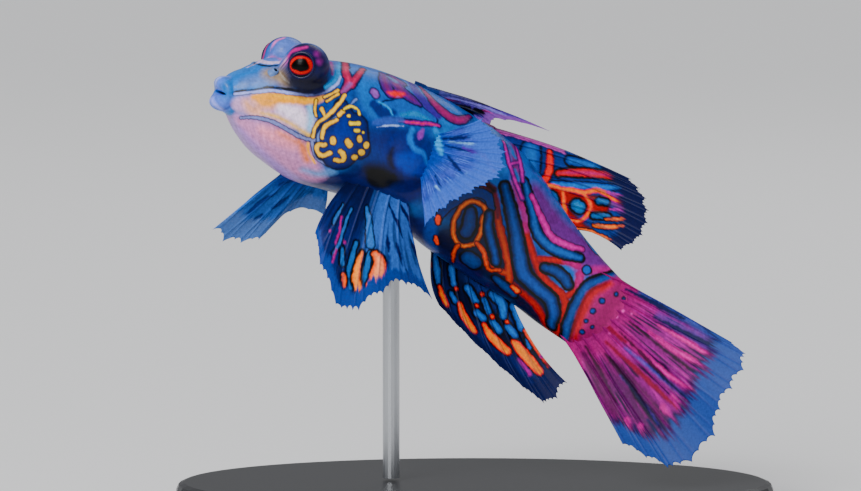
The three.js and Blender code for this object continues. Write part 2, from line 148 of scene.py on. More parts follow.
def ripples(points: Array, length: float, seed: int) -> Array:
    """A soft random field, mostly from -1 to 1, over points.

    Args:
        points: Places in mm, in the last axis.
        length: The size of one blotch in mm.
        seed: Which field.

    Returns:
        One value a point.
    """
    draw = np.random.default_rng(seed)
    total = np.zeros(points.shape[:-1])
    for _ in range(RIPPLE_WAVES):
        way = unit(draw.normal(size=points.shape[-1])) * 2 * math.pi
        way = way / (length * draw.uniform(*RIPPLE_SPREAD))
        total += np.sin(points @ way + draw.uniform(0, 2 * math.pi))
    return total / RIPPLE_WAVES * RIPPLE_GAIN


@dataclass(frozen=True)
class Picture:
    """The side picture that the markings are drawn on, and the camera that sees the model the same way."""

    target: Triple = (-4.45, 0.0, 27.75)
    distance: float = 450.0
    elevation: float = 5.0
    width: float = 86.1
    pixels: tuple[int, int] = (861, 491)

    def axes(self) -> tuple[Array, Array, Array]:
        """Works out how the camera is turned.

        Returns:
            Its way of looking, its right and its up.
        """
        tilt = math.radians(self.elevation)
        look = np.array([0.0, math.cos(tilt), -math.sin(tilt)])
        right = np.array([1.0, 0.0, 0.0])
        return look, right, np.cross(right, look)

    def eye(self) -> Array:
        """Where the camera stands."""
        return np.array(self.target) - self.axes()[0] * self.distance

    def place(self, points: Array) -> Array:
        """Finds where points fall on the picture.

        Args:
            points: Points in mm, in the last axis.

        Returns:
            Their places in mm across and down from the picture's top left corner.
        """
        look, right, up = self.axes()
        away = points - self.eye()
        scale = self.distance / (away @ look)
        height = self.width * self.pixels[1] / self.pixels[0]
        return np.stack([self.width / 2 + away @ right * scale, height / 2 - away @ up * scale], axis=-1)


PICTURE = Picture()


@dataclass(frozen=True)
class Band:
    """One stroke of a marking: its widths from start to end and its middle line, in mm on the picture."""

    widths: tuple[float, ...]
    path: tuple[Point, ...]


def band(width: float | tuple[float, ...], *path: Point) -> Band:
    """A stroke from one width or several and its path."""
    return Band(width if isinstance(width, tuple) else (width,), path)


@dataclass(frozen=True)
class Marking:
    """Strokes of one colour that join into one shape.

    A rim is a colour and its width in mm. A core is a colour and how deep inside the shape it is full, in mm.
    """

    colour: str
    bands: tuple[Band, ...]
    rim: tuple[str, float] | None = None
    core: tuple[str, float] | None = None
    soft: float = 0.1
    strength: float = 1.0


def mark(colour: str, *bands: Band, **finish: object) -> Marking:
    """A marking from its colour, its strokes and what else is said of it."""
    return Marking(colour, bands, **finish)


class Canvas:
    """Hand painting over the points of a surface: strokes wander a little and the paint is flecked."""

    STEP = 0.18
    EDGE_RIPPLES = ((0.045, 0.9, 17), (0.04, 0.34, 23))
    FLECKS = ((0.13, 0.6, 61), (0.13, 0.26, 62))
    FLECK_LIMITS = (0.4, 1.5)
    CORE_INSET = 0.04
    SPARE = 0.14
    DOT_LENGTH = 0.01

    def __init__(self, points: Array, seen: Array) -> None:
        """Takes the surface.

        Args:
            points: The surface's points in mm, any grid of them.
            seen: Which of them the picture shows.
        """
        self.points = points.reshape(-1, 3)
        self.colour = np.zeros_like(self.points)
        self.wobble = self.uneven(self.EDGE_RIPPLES)
        self.places = self.points[seen.reshape(-1)]
        self.tree = KDTree(len(self.places))
        for i, (x, y) in enumerate(PICTURE.place(self.places)):
            self.tree.insert((x, y, 0.0), i)
        self.tree.balance()

    def uneven(self, fields: tuple[tuple[float, float, int], ...]) -> Array:
        """Adds up random fields, each given by its strength, its size in mm and its seed."""
        return sum(strength * ripples(self.points, length, seed) for strength, length, seed in fields)

    def lay(self, path: tuple[Point, ...]) -> Array:
        """Lays a path of the picture on the surface.

        Args:
            path: Points in mm on the picture.

        Returns:
            Close points of the path on the surface.
        """
        if len(path) == 1:
            path = (path[0], (path[0][0] + self.DOT_LENGTH, path[0][1]))
        corners = np.array(path)
        length = np.linalg.norm(np.diff(corners, axis=0), axis=1).sum()
        count = max(3, int(length / self.STEP))
        curve = through(corners, np.linspace(0, len(corners) - 1, count))
        found = [self.tree.find((x, y, 0.0)) for x, y in curve]
        laid = self.places[[index for _, index, _ in found]]
        inner = (laid[:-2] + 2 * laid[1:-1] + laid[2:]) / 4
        return np.concatenate([laid[:1], inner, laid[-1:]])

    def reach(self, bands: tuple[Band, ...], margin: float) -> Array:
        """Measures how far each point is outside the joined bands.

        Args:
            bands: The strokes.
            margin: How far round them the measure has to be right, in mm.

        Returns:
            The distances in mm, less than 0 inside. Points beyond the margin only get a large number.
        """
        outside = np.full(len(self.points), FAR)
        for one in bands:
            laid = self.lay(one.path)
            steps = np.linspace(0, len(one.widths) - 1, len(laid))
            half = through(np.array(one.widths + one.widths[-1:]) / 2, steps)
            most = half.max() + margin
            near = np.all((self.points > laid.min(0) - most) & (self.points < laid.max(0) + most), axis=1)
            index = np.nonzero(near)[0]
            if len(index):
                outside[index] = np.minimum(outside[index], self.beyond(self.points[index], laid, half))
        return outside + self.wobble

    @staticmethod
    def beyond(points: Array, line: Array, half: Array) -> Array:
        """Measures how far points are outside a line of varying width.

        Args:
            points: The points.
            line: Points along the line.
            half: Half the line's width at each of them.

        Returns:
            The distances, less than 0 inside the line.
        """
        best = np.full(len(points), FAR)
        for a, b, wide, next_wide in zip(line[:-1], line[1:], half[:-1], half[1:]):
            way = b - a
            along = np.clip((points - a) @ way / max(way @ way, 1e-9), 0, 1)
            gap = np.linalg.norm(points - a - along[:, None] * way, axis=1)
            best = np.minimum(best, gap - wide - along * (next_wide - wide))
        return best

    def mix(self, colour: str, amount: Array) -> None:
        """Mixes a colour in, by an amount from 0 to 1 a point."""
        self.colour += (pigment(colour) - self.colour) * amount.reshape(-1)[:, None]

    def cover(self, colour: str) -> None:
        """Paints every point one colour."""
        self.mix(colour, np.ones(len(self.points)))

    def mottle(self) -> None:
        """Makes the paint uneven: soft darker and paler flecks in two sizes."""
        self.colour *= np.clip(1 + self.uneven(self.FLECKS), *self.FLECK_LIMITS)[:, None]

    def draw(self, marking: Marking) -> None:
        """Draws one marking: its rim first, then its colour and its core.

        Args:
            marking: What to draw.
        """
        rim, rim_width = marking.rim or ("", self.SPARE)
        outside = self.reach(marking.bands, rim_width + marking.soft)
        if rim:
            self.mix(rim, np.clip(0.5 - (outside - rim_width) / marking.soft, 0, 1))
        self.mix(marking.colour, marking.strength * np.clip(0.5 - outside / marking.soft, 0, 1))
        if marking.core:
            core, depth = marking.core
            self.mix(core, smooth_step(0, depth, -outside - self.CORE_INSET))


class Spine:
    """The middle line of the body from mouth to tail root, with the body's half height and width along it."""

    COLUMNS = ("x", "y", "z", "back", "belly", "side", "roll")
    STATIONS = np.array(
        [
            (-24.6, -6.2, 43.3, 1.7, 1.8, 1.9, 4),
            (-23.5, -5.7, 43.1, 2.7, 2.5, 2.8, 4),
            (-21.8, -4.9, 42.5, 4.4, 4.0, 4.0, 4),
            (-19.5, -3.9, 41.6, 5.5, 5.3, 5.0, 4),
            (-16.5, -2.7, 40.6, 6.1, 6.3, 5.6, 4),
            (-13.0, -1.5, 39.4, 6.7, 6.3, 5.9, 3),
            (-9.0, -0.4, 37.7, 6.9, 6.0, 5.7, 2),
            (-5.0, 0.4, 35.5, 7.0, 6.1, 5.3, 1),
            (-1.0, 0.8, 32.4, 7.3, 6.3, 4.6, 0),
            (2.5, 0.7, 29.1, 6.8, 5.6, 3.8, 0),
            (6.0, 0.2, 26.0, 5.7, 4.7, 2.9, 0),
            (9.0, -0.5, 23.5, 4.9, 4.5, 2.1, 0),
            (11.6, -1.2, 21.4, 4.4, 4.2, 1.3, 0),
        ]
    )
    LAST = len(STATIONS) - 1
    STEP = 0.02

    @classmethod
    def point(cls, t: Array) -> Array:
        """The spine's place at station t."""
        return through(cls.STATIONS[:, :3], t)

    @classmethod
    def size(cls, name: str, t: Array) -> Array:
        """One of the sizes at station t."""
        return through(cls.STATIONS[:, cls.COLUMNS.index(name)], t)

    @classmethod
    def frame(cls, t: Array) -> tuple[Array, Array, Array, Array]:
        """Finds where the spine is and how it is turned.

        Args:
            t: Stations, counted from the mouth.

        Returns:
            The spine's place there, and the ways back, up and left.
        """
        t = np.asarray(t, float)
        ahead, behind = cls.point(np.minimum(t + cls.STEP, cls.LAST)), cls.point(np.maximum(t - cls.STEP, 0))
        back = unit(ahead - behind)
        up = unit(np.array([0.0, 0.0, 1.0]) - back * back[..., 2:])
        roll = np.radians(cls.size("roll", t))[..., None]
        up = up * np.cos(roll) + np.cross(back, up) * np.sin(roll)
        return cls.point(t), back, up, np.cross(back, up)

    @classmethod
    def beside(cls, t: float, up: float, left: float) -> Array:
        """A place up and left of the spine."""
        at, _, above, across = cls.frame(np.array(t))
        return at + above * up + across * left


class Side(Enum):
    """The two sides of the fish."""

    LEFT = 1
    RIGHT = -1


@dataclass(frozen=True)
class Swelling:
    """A round or oval form that melts into the body on both sides."""

    at: float
    rise: float
    apart: float
    radii: Triple
    blend: float

    def centre(self, side: Side) -> Array:
        """Its middle on one side."""
        return Spine.beside(self.at, self.rise, self.apart * side.value)

    def outside(self, points: Array, side: Side) -> Array:
        """Measures roughly how far points are outside it.

        Args:
            points: Points in mm.
            side: On which side of the fish it is.

        Returns:
            The distances, less than 0 inside.
        """
        _, back, up, left = Spine.frame(np.array(self.at))
        away = points - self.centre(side)
        local = np.stack([away @ back, away @ left, away @ up], axis=-1)
        radii = np.array(self.radii)
        near = np.linalg.norm(local / radii, axis=-1)
        steep = np.linalg.norm(local / radii**2, axis=-1)
        return near * (near - 1) / np.maximum(steep, 1e-6)


@dataclass(frozen=True)
class Body:
    """The outer form: an oval section along the spine with turrets, gill covers and fin lobes melted in.

    Its skin is found by walking in from outside, each stride a little shorter than the gap that is left.
    """

    power: float = 2.2
    turret: Swelling = Swelling(3.08, 4.85, 3.0, (2.35, 2.35, 2.35), 0.7)
    gill_cover: Swelling = Swelling(4.6, -0.9, 4.0, (3.2, 2.3, 3.6), 1.0)
    fin_lobe: Swelling = Swelling(6.35, -0.2, 4.5, (2.8, 1.9, 2.7), 0.8)
    start_out: float = 4.5
    strides: int = 26
    stride: float = 0.85
    slant: float = 0.92
    least: float = 0.3

    def section(self, t: Array, angle: Array) -> Array:
        """Measures the plain section.

        Args:
            t: Stations.
            angle: Angles round the spine, counted from the left side up.

        Returns:
            The section's radius there.
        """
        height = np.where(np.sin(angle) >= 0, Spine.size("back", t), Spine.size("belly", t))
        across = np.abs(np.cos(angle)) / Spine.size("side", t)
        along = np.abs(np.sin(angle)) / height
        return (across**self.power + along**self.power) ** (-1 / self.power)

    def skin(self, t: Array, angle: Array) -> Array:
        """Finds points of the skin.

        Args:
            t: Stations, of a shape that broadcasts with angle.
            angle: Angles round the spine.

        Returns:
            The points, with their three coordinates as the last axis.
        """
        at, _, up, left = Spine.frame(t)
        angle = np.asarray(angle, float)
        ray = left * np.cos(angle)[..., None] + up * np.sin(angle)[..., None]
        plain = self.section(t, angle)
        radius = plain + self.start_out
        for _ in range(self.strides):
            points = at + ray * radius[..., None]
            gap = self.slant * (radius - plain)
            for form in (self.turret, self.gill_cover, self.fin_lobe):
                for side in Side:
                    gap = smooth_min(gap, form.outside(points, side), form.blend)
            radius = np.maximum(radius - self.stride * gap, self.least * plain)
        return at + ray * radius[..., None]


BODY = Body()


def add_node(tree: Tree, kind: str, settings: dict | None = None,
        **links: object) -> Node:
    """Adds a shader node.

    Args:
        tree: The material's nodes.
        kind: The node's type.
        settings: Properties of the node, such as its operation.
        **links: Input names with underscores for spaces, each a socket to link or a value to set.

    Returns:
        The new node.
    """
    node = tree.nodes.new(kind)
    for name, value in (settings or {}).items():
        setattr(node, name, value)
    for name, value in links.items():
        key = name.replace("_", " ")
        if isinstance(value, bpy.types.NodeSocket):
            tree.links.new(value, node.inputs[key])
        else:
            node.inputs[key].default_value = value
    return node


def new_material(name: str) -> tuple[Material, Tree]:
    """A new material and its empty tree."""
    material = bpy.data.materials.new(name)
    material.use_nodes = True
    material.node_tree.nodes.clear()
    return material, material.node_tree


@dataclass(frozen=True)
class Grain:
    """Fine unevenness of a painted cast: how wide its grains are, and how dark and pale they turn it."""

    width_mm: float
    detail: float
    rough: float
    dark: float
    pale: float

    LOW = 0.3
    HIGH = 0.7

    def make(self, tree: Tree, paint: Node) -> tuple[Node, Node]:
        """Adds the grain to a material.

        Args:
            tree: The material's nodes.
            paint: The plain paint.

        Returns:
            The grain itself and the paint with the grain in it.
        """
        place = add_node(tree, "ShaderNodeTexCoord")
        noise = add_node(tree, "ShaderNodeTexNoise", Vector=place.outputs["Object"],
            Scale=1 / (self.width_mm * MM), Detail=self.detail, Roughness=self.rough)
        shade = add_node(tree, "ShaderNodeMapRange", Value=noise.outputs["Fac"], From_Min=self.LOW,
            From_Max=self.HIGH, To_Min=self.dark, To_Max=self.pale)
        return noise, add_node(tree, "ShaderNodeHueSaturation", Color=paint.outputs["Color"],
            Value=shade.outputs["Result"])


@dataclass(frozen=True)
class SlimySkin:
    """Bare fish skin: painted cast resin under a thin clear coat, as slick as a living fish's slime.

    The eye sees saturated flat colour, faint mottling and a soft wet shine.
    """

    name: str = "slimy_skin"
    ior: float = 1.36
    shine: float = 0.3
    roughness: float = 0.4
    roughness_spread: float = 0.08
    coat: float = 0.14
    coat_roughness: float = 0.12
    pores: Grain = Grain(width_mm=0.35, detail=4.0, rough=0.6, dark=0.84, pale=1.12)
    pore_depth_mm: float = 0.12
    bump: float = 0.12

    def make(self) -> Material:
        """Builds the material."""
        material, tree = new_material(self.name)
        pores, tint = self.pores.make(tree, add_node(tree, "ShaderNodeAttribute", POINT_PAINT))
        slick = add_node(tree, "ShaderNodeMapRange", Value=pores.outputs["Fac"], From_Min=Grain.LOW,
            From_Max=Grain.HIGH, To_Min=self.roughness - self.roughness_spread,
            To_Max=self.roughness + self.roughness_spread)
        bumps = add_node(tree, "ShaderNodeBump", Strength=self.bump, Distance=self.pore_depth_mm * MM,
            Height=pores.outputs["Fac"])
        shader = add_node(tree, "ShaderNodeBsdfPrincipled", Base_Color=tint.outputs["Color"],
            Roughness=slick.outputs["Result"], IOR=self.ior, Specular_IOR_Level=self.shine,
            Coat_Weight=self.coat, Coat_Roughness=self.coat_roughness, Normal=bumps.outputs["Normal"])
        add_node(tree, "ShaderNodeOutputMaterial", Surface=shader.outputs["BSDF"])
        return material


@dataclass(frozen=True)
class FinFilm:
    """Fin skin over bony rays: thin cast film, painted, more see-through between the rays and at the edge."""

    name: str = "fin_film"
    ior: float = 1.34
    shine: float = 0.15
    roughness: float = 0.45
    coat: float = 0.03
    coat_roughness: float = 0.25
    fibres: Grain = Grain(width_mm=0.22, detail=3.0, rough=0.55, dark=0.82, pale=1.14)
    fibre_depth_mm: float = 0.08
    bump: float = 0.15

    def make(self) -> Material:
        """Builds the material."""
        material, tree = new_material(self.name)
        paint = add_node(tree, "ShaderNodeAttribute", POINT_PAINT)
        fibres, tint = self.fibres.make(tree, paint)
        bumps = add_node(tree, "ShaderNodeBump", Strength=self.bump, Distance=self.fibre_depth_mm * MM,
            Height=fibres.outputs["Fac"])
        shader = add_node(tree, "ShaderNodeBsdfPrincipled", Base_Color=tint.outputs["Color"],
            Roughness=self.roughness, IOR=self.ior, Specular_IOR_Level=self.shine, Coat_Weight=self.coat,
            Coat_Roughness=self.coat_roughness, Alpha=paint.outputs["Alpha"], Normal=bumps.outputs["Normal"])
        add_node(tree, "ShaderNodeOutputMaterial", Surface=shader.outputs["BSDF"])
        return material


@dataclass(frozen=True)
class EyeGloss:
    """Painted glass eye: a bright iris under clear polished glass, so the highlight is small and sharp."""

    name: str = "eye_gloss"
    ior: float = 1.33
    roughness: float = 0.35
    coat: float = 0.06
    coat_roughness: float = 0.03
    shine: float = 0.12

    def make(self) -> Material:
        """Builds the material."""
        material, tree = new_material(self.name)
        paint = add_node(tree, "ShaderNodeAttribute", POINT_PAINT)
        shader = add_node(tree, "ShaderNodeBsdfPrincipled", Base_Color=paint.outputs["Color"],
            Roughness=self.roughness, IOR=self.ior, Specular_IOR_Level=self.shine, Coat_Weight=self.coat,
            Coat_Roughness=self.coat_roughness)
        add_node(tree, "ShaderNodeOutputMaterial", Surface=shader.outputs["BSDF"])
        return material


@dataclass(frozen=True)
class Lacquer:
    """Sprayed satin lacquer on turned wood: even black, a broad soft shine and a trace of orange peel."""

    name: str = "satin_lacquer"
    colour: str = "#1b1b1d"
    pale: str = "#26262a"
    ior: float = 1.5
    roughness: float = 0.32
    peel_mm: float = 0.8
    peel_depth_mm: float = 0.05
    bump: float = 0.04

    def make(self) -> Material:
        """Builds the material."""
        material, tree = new_material(self.name)
        place = add_node(tree, "ShaderNodeTexCoord")
        peel = add_node(tree, "ShaderNodeTexNoise", Vector=place.outputs["Object"],
            Scale=1 / (self.peel_mm * MM), Detail=2.0)
        tone = add_node(tree, "ShaderNodeValToRGB", Fac=peel.outputs["Fac"])
        for stop, sheet in zip(tone.color_ramp.elements, (self.colour, self.pale)):
            stop.color = (*linear(sheet), 1)
        bumps = add_node(tree, "ShaderNodeBump", Strength=self.bump, Distance=self.peel_depth_mm * MM,
            Height=peel.outputs["Fac"])
        shader = add_node(tree, "ShaderNodeBsdfPrincipled", Base_Color=tone.outputs["Color"],
            Roughness=self.roughness, IOR=self.ior, Normal=bumps.outputs["Normal"])
        add_node(tree, "ShaderNodeOutputMaterial", Surface=shader.outputs["BSDF"])
        return material


@dataclass(frozen=True)
class DrawnSteel:
    """Drawn stainless steel rod: bright grey with fine lengthwise lines that stretch the highlight."""

    name: str = "drawn_steel"
    colour: str = "#b9bcc0"
    smoothest: float = 0.22
    roughest: float = 0.38
    line_mm: float = 0.12
    stretch: float = 0.02

    def make(self) -> Material:
        """Builds the material."""
        material, tree = new_material(self.name)
        place = add_node(tree, "ShaderNodeTexCoord")
        scale = 1 / (self.line_mm * MM)
        squash = add_node(tree, "ShaderNodeMapping", Vector=place.outputs["Object"],
            Scale=Vector((scale, scale, scale * self.stretch)))
        lines = add_node(tree, "ShaderNodeTexNoise", Vector=squash.outputs["Vector"], Scale=1.0, Detail=2.0)
        rough = add_node(tree, "ShaderNodeMapRange", Value=lines.outputs["Fac"], To_Min=self.smoothest,
            To_Max=self.roughest)
        shader = add_node(tree, "ShaderNodeBsdfPrincipled", Base_Color=(*linear(self.colour), 1),
            Metallic=1.0, Roughness=rough.outputs["Result"])
        add_node(tree, "ShaderNodeOutputMaterial", Surface=shader.outputs["BSDF"])
        return material


def mesh_of(name: str, points: Array, faces: list, paint: Array,
        material: Material) -> Piece:
    """Makes a smooth mesh object.

    Args:
        name: The object's name.
        points: Its points in mm, one row each.
        faces: Corner numbers of each face.
        paint: Red, green, blue and cover of each point, linear.
        material: Its finish.

    Returns:
        The new object, in the scene.
    """
    mesh = bpy.data.meshes.new(name)
    mesh.from_pydata((points * MM).tolist(), [], faces)
    mesh.update()
    layer = mesh.attributes.new("paint", "FLOAT_COLOR", "POINT")
    layer.data.foreach_set("color", np.ascontiguousarray(paint, np.float32).ravel())
    mesh.polygons.foreach_set("use_smooth", np.ones(len(mesh.polygons), bool))
    mesh.materials.append(material)
    piece = bpy.data.objects.new(name, mesh)
    bpy.context.scene.collection.objects.link(piece)
    return piece


def opaque(colour: Array) -> Array:
    """Adds full cover to red, green and blue."""
    flat = colour.reshape(-1, 3)
    return np.concatenate([flat, np.ones((len(flat), 1))], axis=1)


def full_turn(count: int) -> Array:
    """Angles evenly round a circle."""
    return 2 * math.pi * np.arange(count) / count


def tube_faces(rows: int, around: int) -> list:
    """Joins rows of points to a closed tube.

    Args:
        rows: How many rows there are.
        around: How many points each row has.

    Returns:
        The faces. They count on one extra point at each end of the tube, after all rows.
    """
    grid = np.arange(rows * around).reshape(rows, around)
    turned = np.roll(grid, -1, axis=1)
    quads = np.stack([grid[:-1], grid[1:], turned[1:], turned[:-1]], axis=-1).reshape(-1, 4).tolist()
    first = [[a, b, rows * around] for a, b in zip(grid[0], turned[0])]
    last = [[b, a, rows * around + 1] for a, b in zip(grid[-1], turned[-1])]
    return quads + np.array(first + last).tolist()


def sheet_faces(wide: int, tall: int) -> list:
    """Joins two grids of points, one over the other, to a closed thin sheet.

    Args:
        wide: How many rows each grid has.
        tall: How many points each row has.

    Returns:
        The faces, those of the edge last.
    """
    top = np.arange(wide * tall).reshape(wide, tall)
    low = top + wide * tall
    upper = np.stack([top[:-1, :-1], top[1:, :-1], top[1:, 1:], top[:-1, 1:]], axis=-1).reshape(-1, 4)
    lower = np.stack([low[:-1, :-1], low[:-1, 1:], low[1:, 1:], low[1:, :-1]], axis=-1).reshape(-1, 4)
    rim = np.concatenate([top[:-1, 0], top[-1, :-1], top[:0:-1, -1], top[0, :0:-1]])
    after = np.roll(rim, -1)
    edge = np.stack([rim, rim + wide * tall, after + wide * tall, after], axis=-1)
    return np.concatenate([upper, lower, edge]).tolist()


def grid_normals(grid: Array, wrap: bool) -> Array:
    """Works out unit normals of a grid of points.

    Args:
        grid: Rows and columns of points.
        wrap: Whether each row closes on itself.

    Returns:
        A normal for each point.
    """
    down = np.gradient(grid, axis=0)
    if wrap:
        across = (np.roll(grid, -1, axis=1) - np.roll(grid, 1, axis=1)) / 2
    else:
        across = np.gradient(grid, axis=1)
    return unit(np.cross(across, down))


@dataclass(frozen=True)
class Mouth:
    """The lips: two fleshy rolls round a narrow slit, and the short way in behind them, which the skin's
    paint darkens as painted shade.
    """

    slit_half: float = 1.25
    slit_open: float = 0.1
    upper_pout: float = 1.25
    lower_pout: float = 1.45
    corner_pout: float = 0.55
    fullness: float = 0.8
    roll_rows: int = 22
    inner_rows: int = 4
    inner_depth: float = 1.3

    def rows(self, rim: Array, angle: Array) -> Array:
        """Rows of points from the face over the lips and into the mouth.

        Args:
            rim: The ring of skin that the lips start from.
            angle: The angle of each of its points.

        Returns:
            The rows, from the face inwards.
        """
        at, back, up, left = Spine.frame(np.array(0.0))
        outer = np.linalg.norm(rim - at, axis=1)
        rise, side = np.sin(angle), np.cos(angle)
        inner = 1 / np.sqrt((side / self.slit_half) ** 2 + (rise / self.slit_open) ** 2)
        pout = np.where(rise > 0, self.upper_pout, self.lower_pout)
        pout = self.corner_pout + (pout - self.corner_pout) * np.abs(rise) ** self.fullness
        ray = left * side[:, None] + up * rise[:, None]
        middle, half = (outer + inner) / 2, (outer - inner) / 2
        rows = []
        for k in range(1, self.roll_rows + 1):
            turn = math.pi * k / self.roll_rows
            spread = middle + half * math.cos(turn)
            ahead = pout * math.sin(turn) ** self.fullness
            rows.append(at + ray * spread[:, None] - back * ahead[:, None])
        for k in range(1, self.inner_rows + 1):
            rows.append(rows[self.roll_rows - 1] + back * self.inner_depth * k / self.inner_rows)
        return np.array(rows)


@dataclass
class Skin:
    """The one skin over head, trunk, tail stalk and lips."""

    around: int = 500
    spacing: float = 0.078
    measured_at: int = 1200
    tail_rows: int = 40
    tail_reach: float = 3.4
    tail_round: float = 0.65
    tail_narrowing: float = 0.02
    edge_on: float = 0.08
    mouth: Mouth = field(default_factory=Mouth)

    def stations(self) -> Array:
        """Works out stations from the tail root to the mouth, evenly spaced in mm.

        Returns:
            The stations.
        """
        fine = np.linspace(0, Spine.LAST, self.measured_at)
        lengths = np.linalg.norm(np.diff(Spine.point(fine), axis=0), axis=1)
        run = np.concatenate([[0], np.cumsum(lengths)])
        return np.interp(np.linspace(run[-1], 0, int(run[-1] / self.spacing)), run, fine)

    def tail_end(self, ring: Array) -> Array:
        """Rows that fold the flat end of the tail stalk shut over the root of the tail fin.

        Args:
            ring: The last ring of the stalk.

        Returns:
            The rows, from the outermost inwards to the ring.
        """
        at, back, up, left = Spine.frame(np.array(float(Spine.LAST)))
        away = ring - at
        high, wide = away @ up, away @ left
        bulge = 1 - self.tail_round * (high / np.abs(high).max()) ** 2
        rows = []
        for k in range(self.tail_rows, 0, -1):
            f = k / self.tail_rows
            tall = high * (1 - self.tail_narrowing * f)
            thin = wide * math.cos(f * math.pi / 2) ** 2
            out = self.tail_reach * f * bulge
            rows.append(at + up * tall[:, None] + left * thin[:, None] + back * out[:, None])
        return np.array(rows)

    def grid(self) -> tuple[Array, Array, Array]:
        """Lays out the whole skin.

        Returns:
            All rows of points, each row's station and each column's angle. Rows of the lips have stations
            below 0, down to -1 at the slit.
        """
        angle = 2 * math.pi * (np.arange(self.around) + 0.5) / self.around
        stations = self.stations()
        main = BODY.skin(stations[:, None], angle[None, :])
        rows = [self.tail_end(main[0]), main, self.mouth.rows(main[-1], angle)]
        tail = np.full(len(rows[0]), float(Spine.LAST))
        lips = -(np.arange(len(rows[2])) + 1) / self.mouth.roll_rows
        return np.concatenate(rows), np.concatenate([tail, stations, lips]), angle

    def build(self, finish: Material) -> Piece:
        """Builds the skin. Its left half is painted, and the right half mirrors it.

        Args:
            finish: The skin's material.

        Returns:
            The skin's object.
        """
        grid, stations, angle = self.grid()
        mirrored = (self.around // 2 - 1 - np.arange(self.around)) % self.around
        normals = grid_normals(grid, True)
        waist = len(grid) // 2
        if ((grid[waist] - grid[waist].mean(0)) * normals[waist]).sum() < 0:
            normals = -normals
        left = np.cos(angle) > 0
        shown = grid[:, left]
        canvas = Canvas(shown, (normals[:, left] @ PICTURE.axes()[0]) < self.edge_on)
        station, turn = np.broadcast_arrays(stations[:, None], angle[None, left])
        paint_body(canvas, station.reshape(-1), turn.reshape(-1))
        paint = np.zeros_like(grid)
        paint[:, left] = canvas.colour.reshape(shown.shape)
        paint[:, ~left] = paint[:, mirrored][:, ~left]
        points = np.concatenate([grid.reshape(-1, 3), [grid[0].mean(0), grid[-1].mean(0)]])
        cover = opaque(np.concatenate([paint.reshape(-1, 3), [paint[0].mean(0), paint[-1].mean(0)]]))
        return mesh_of("fish_skin", points, tube_faces(len(grid), self.around), cover, finish)


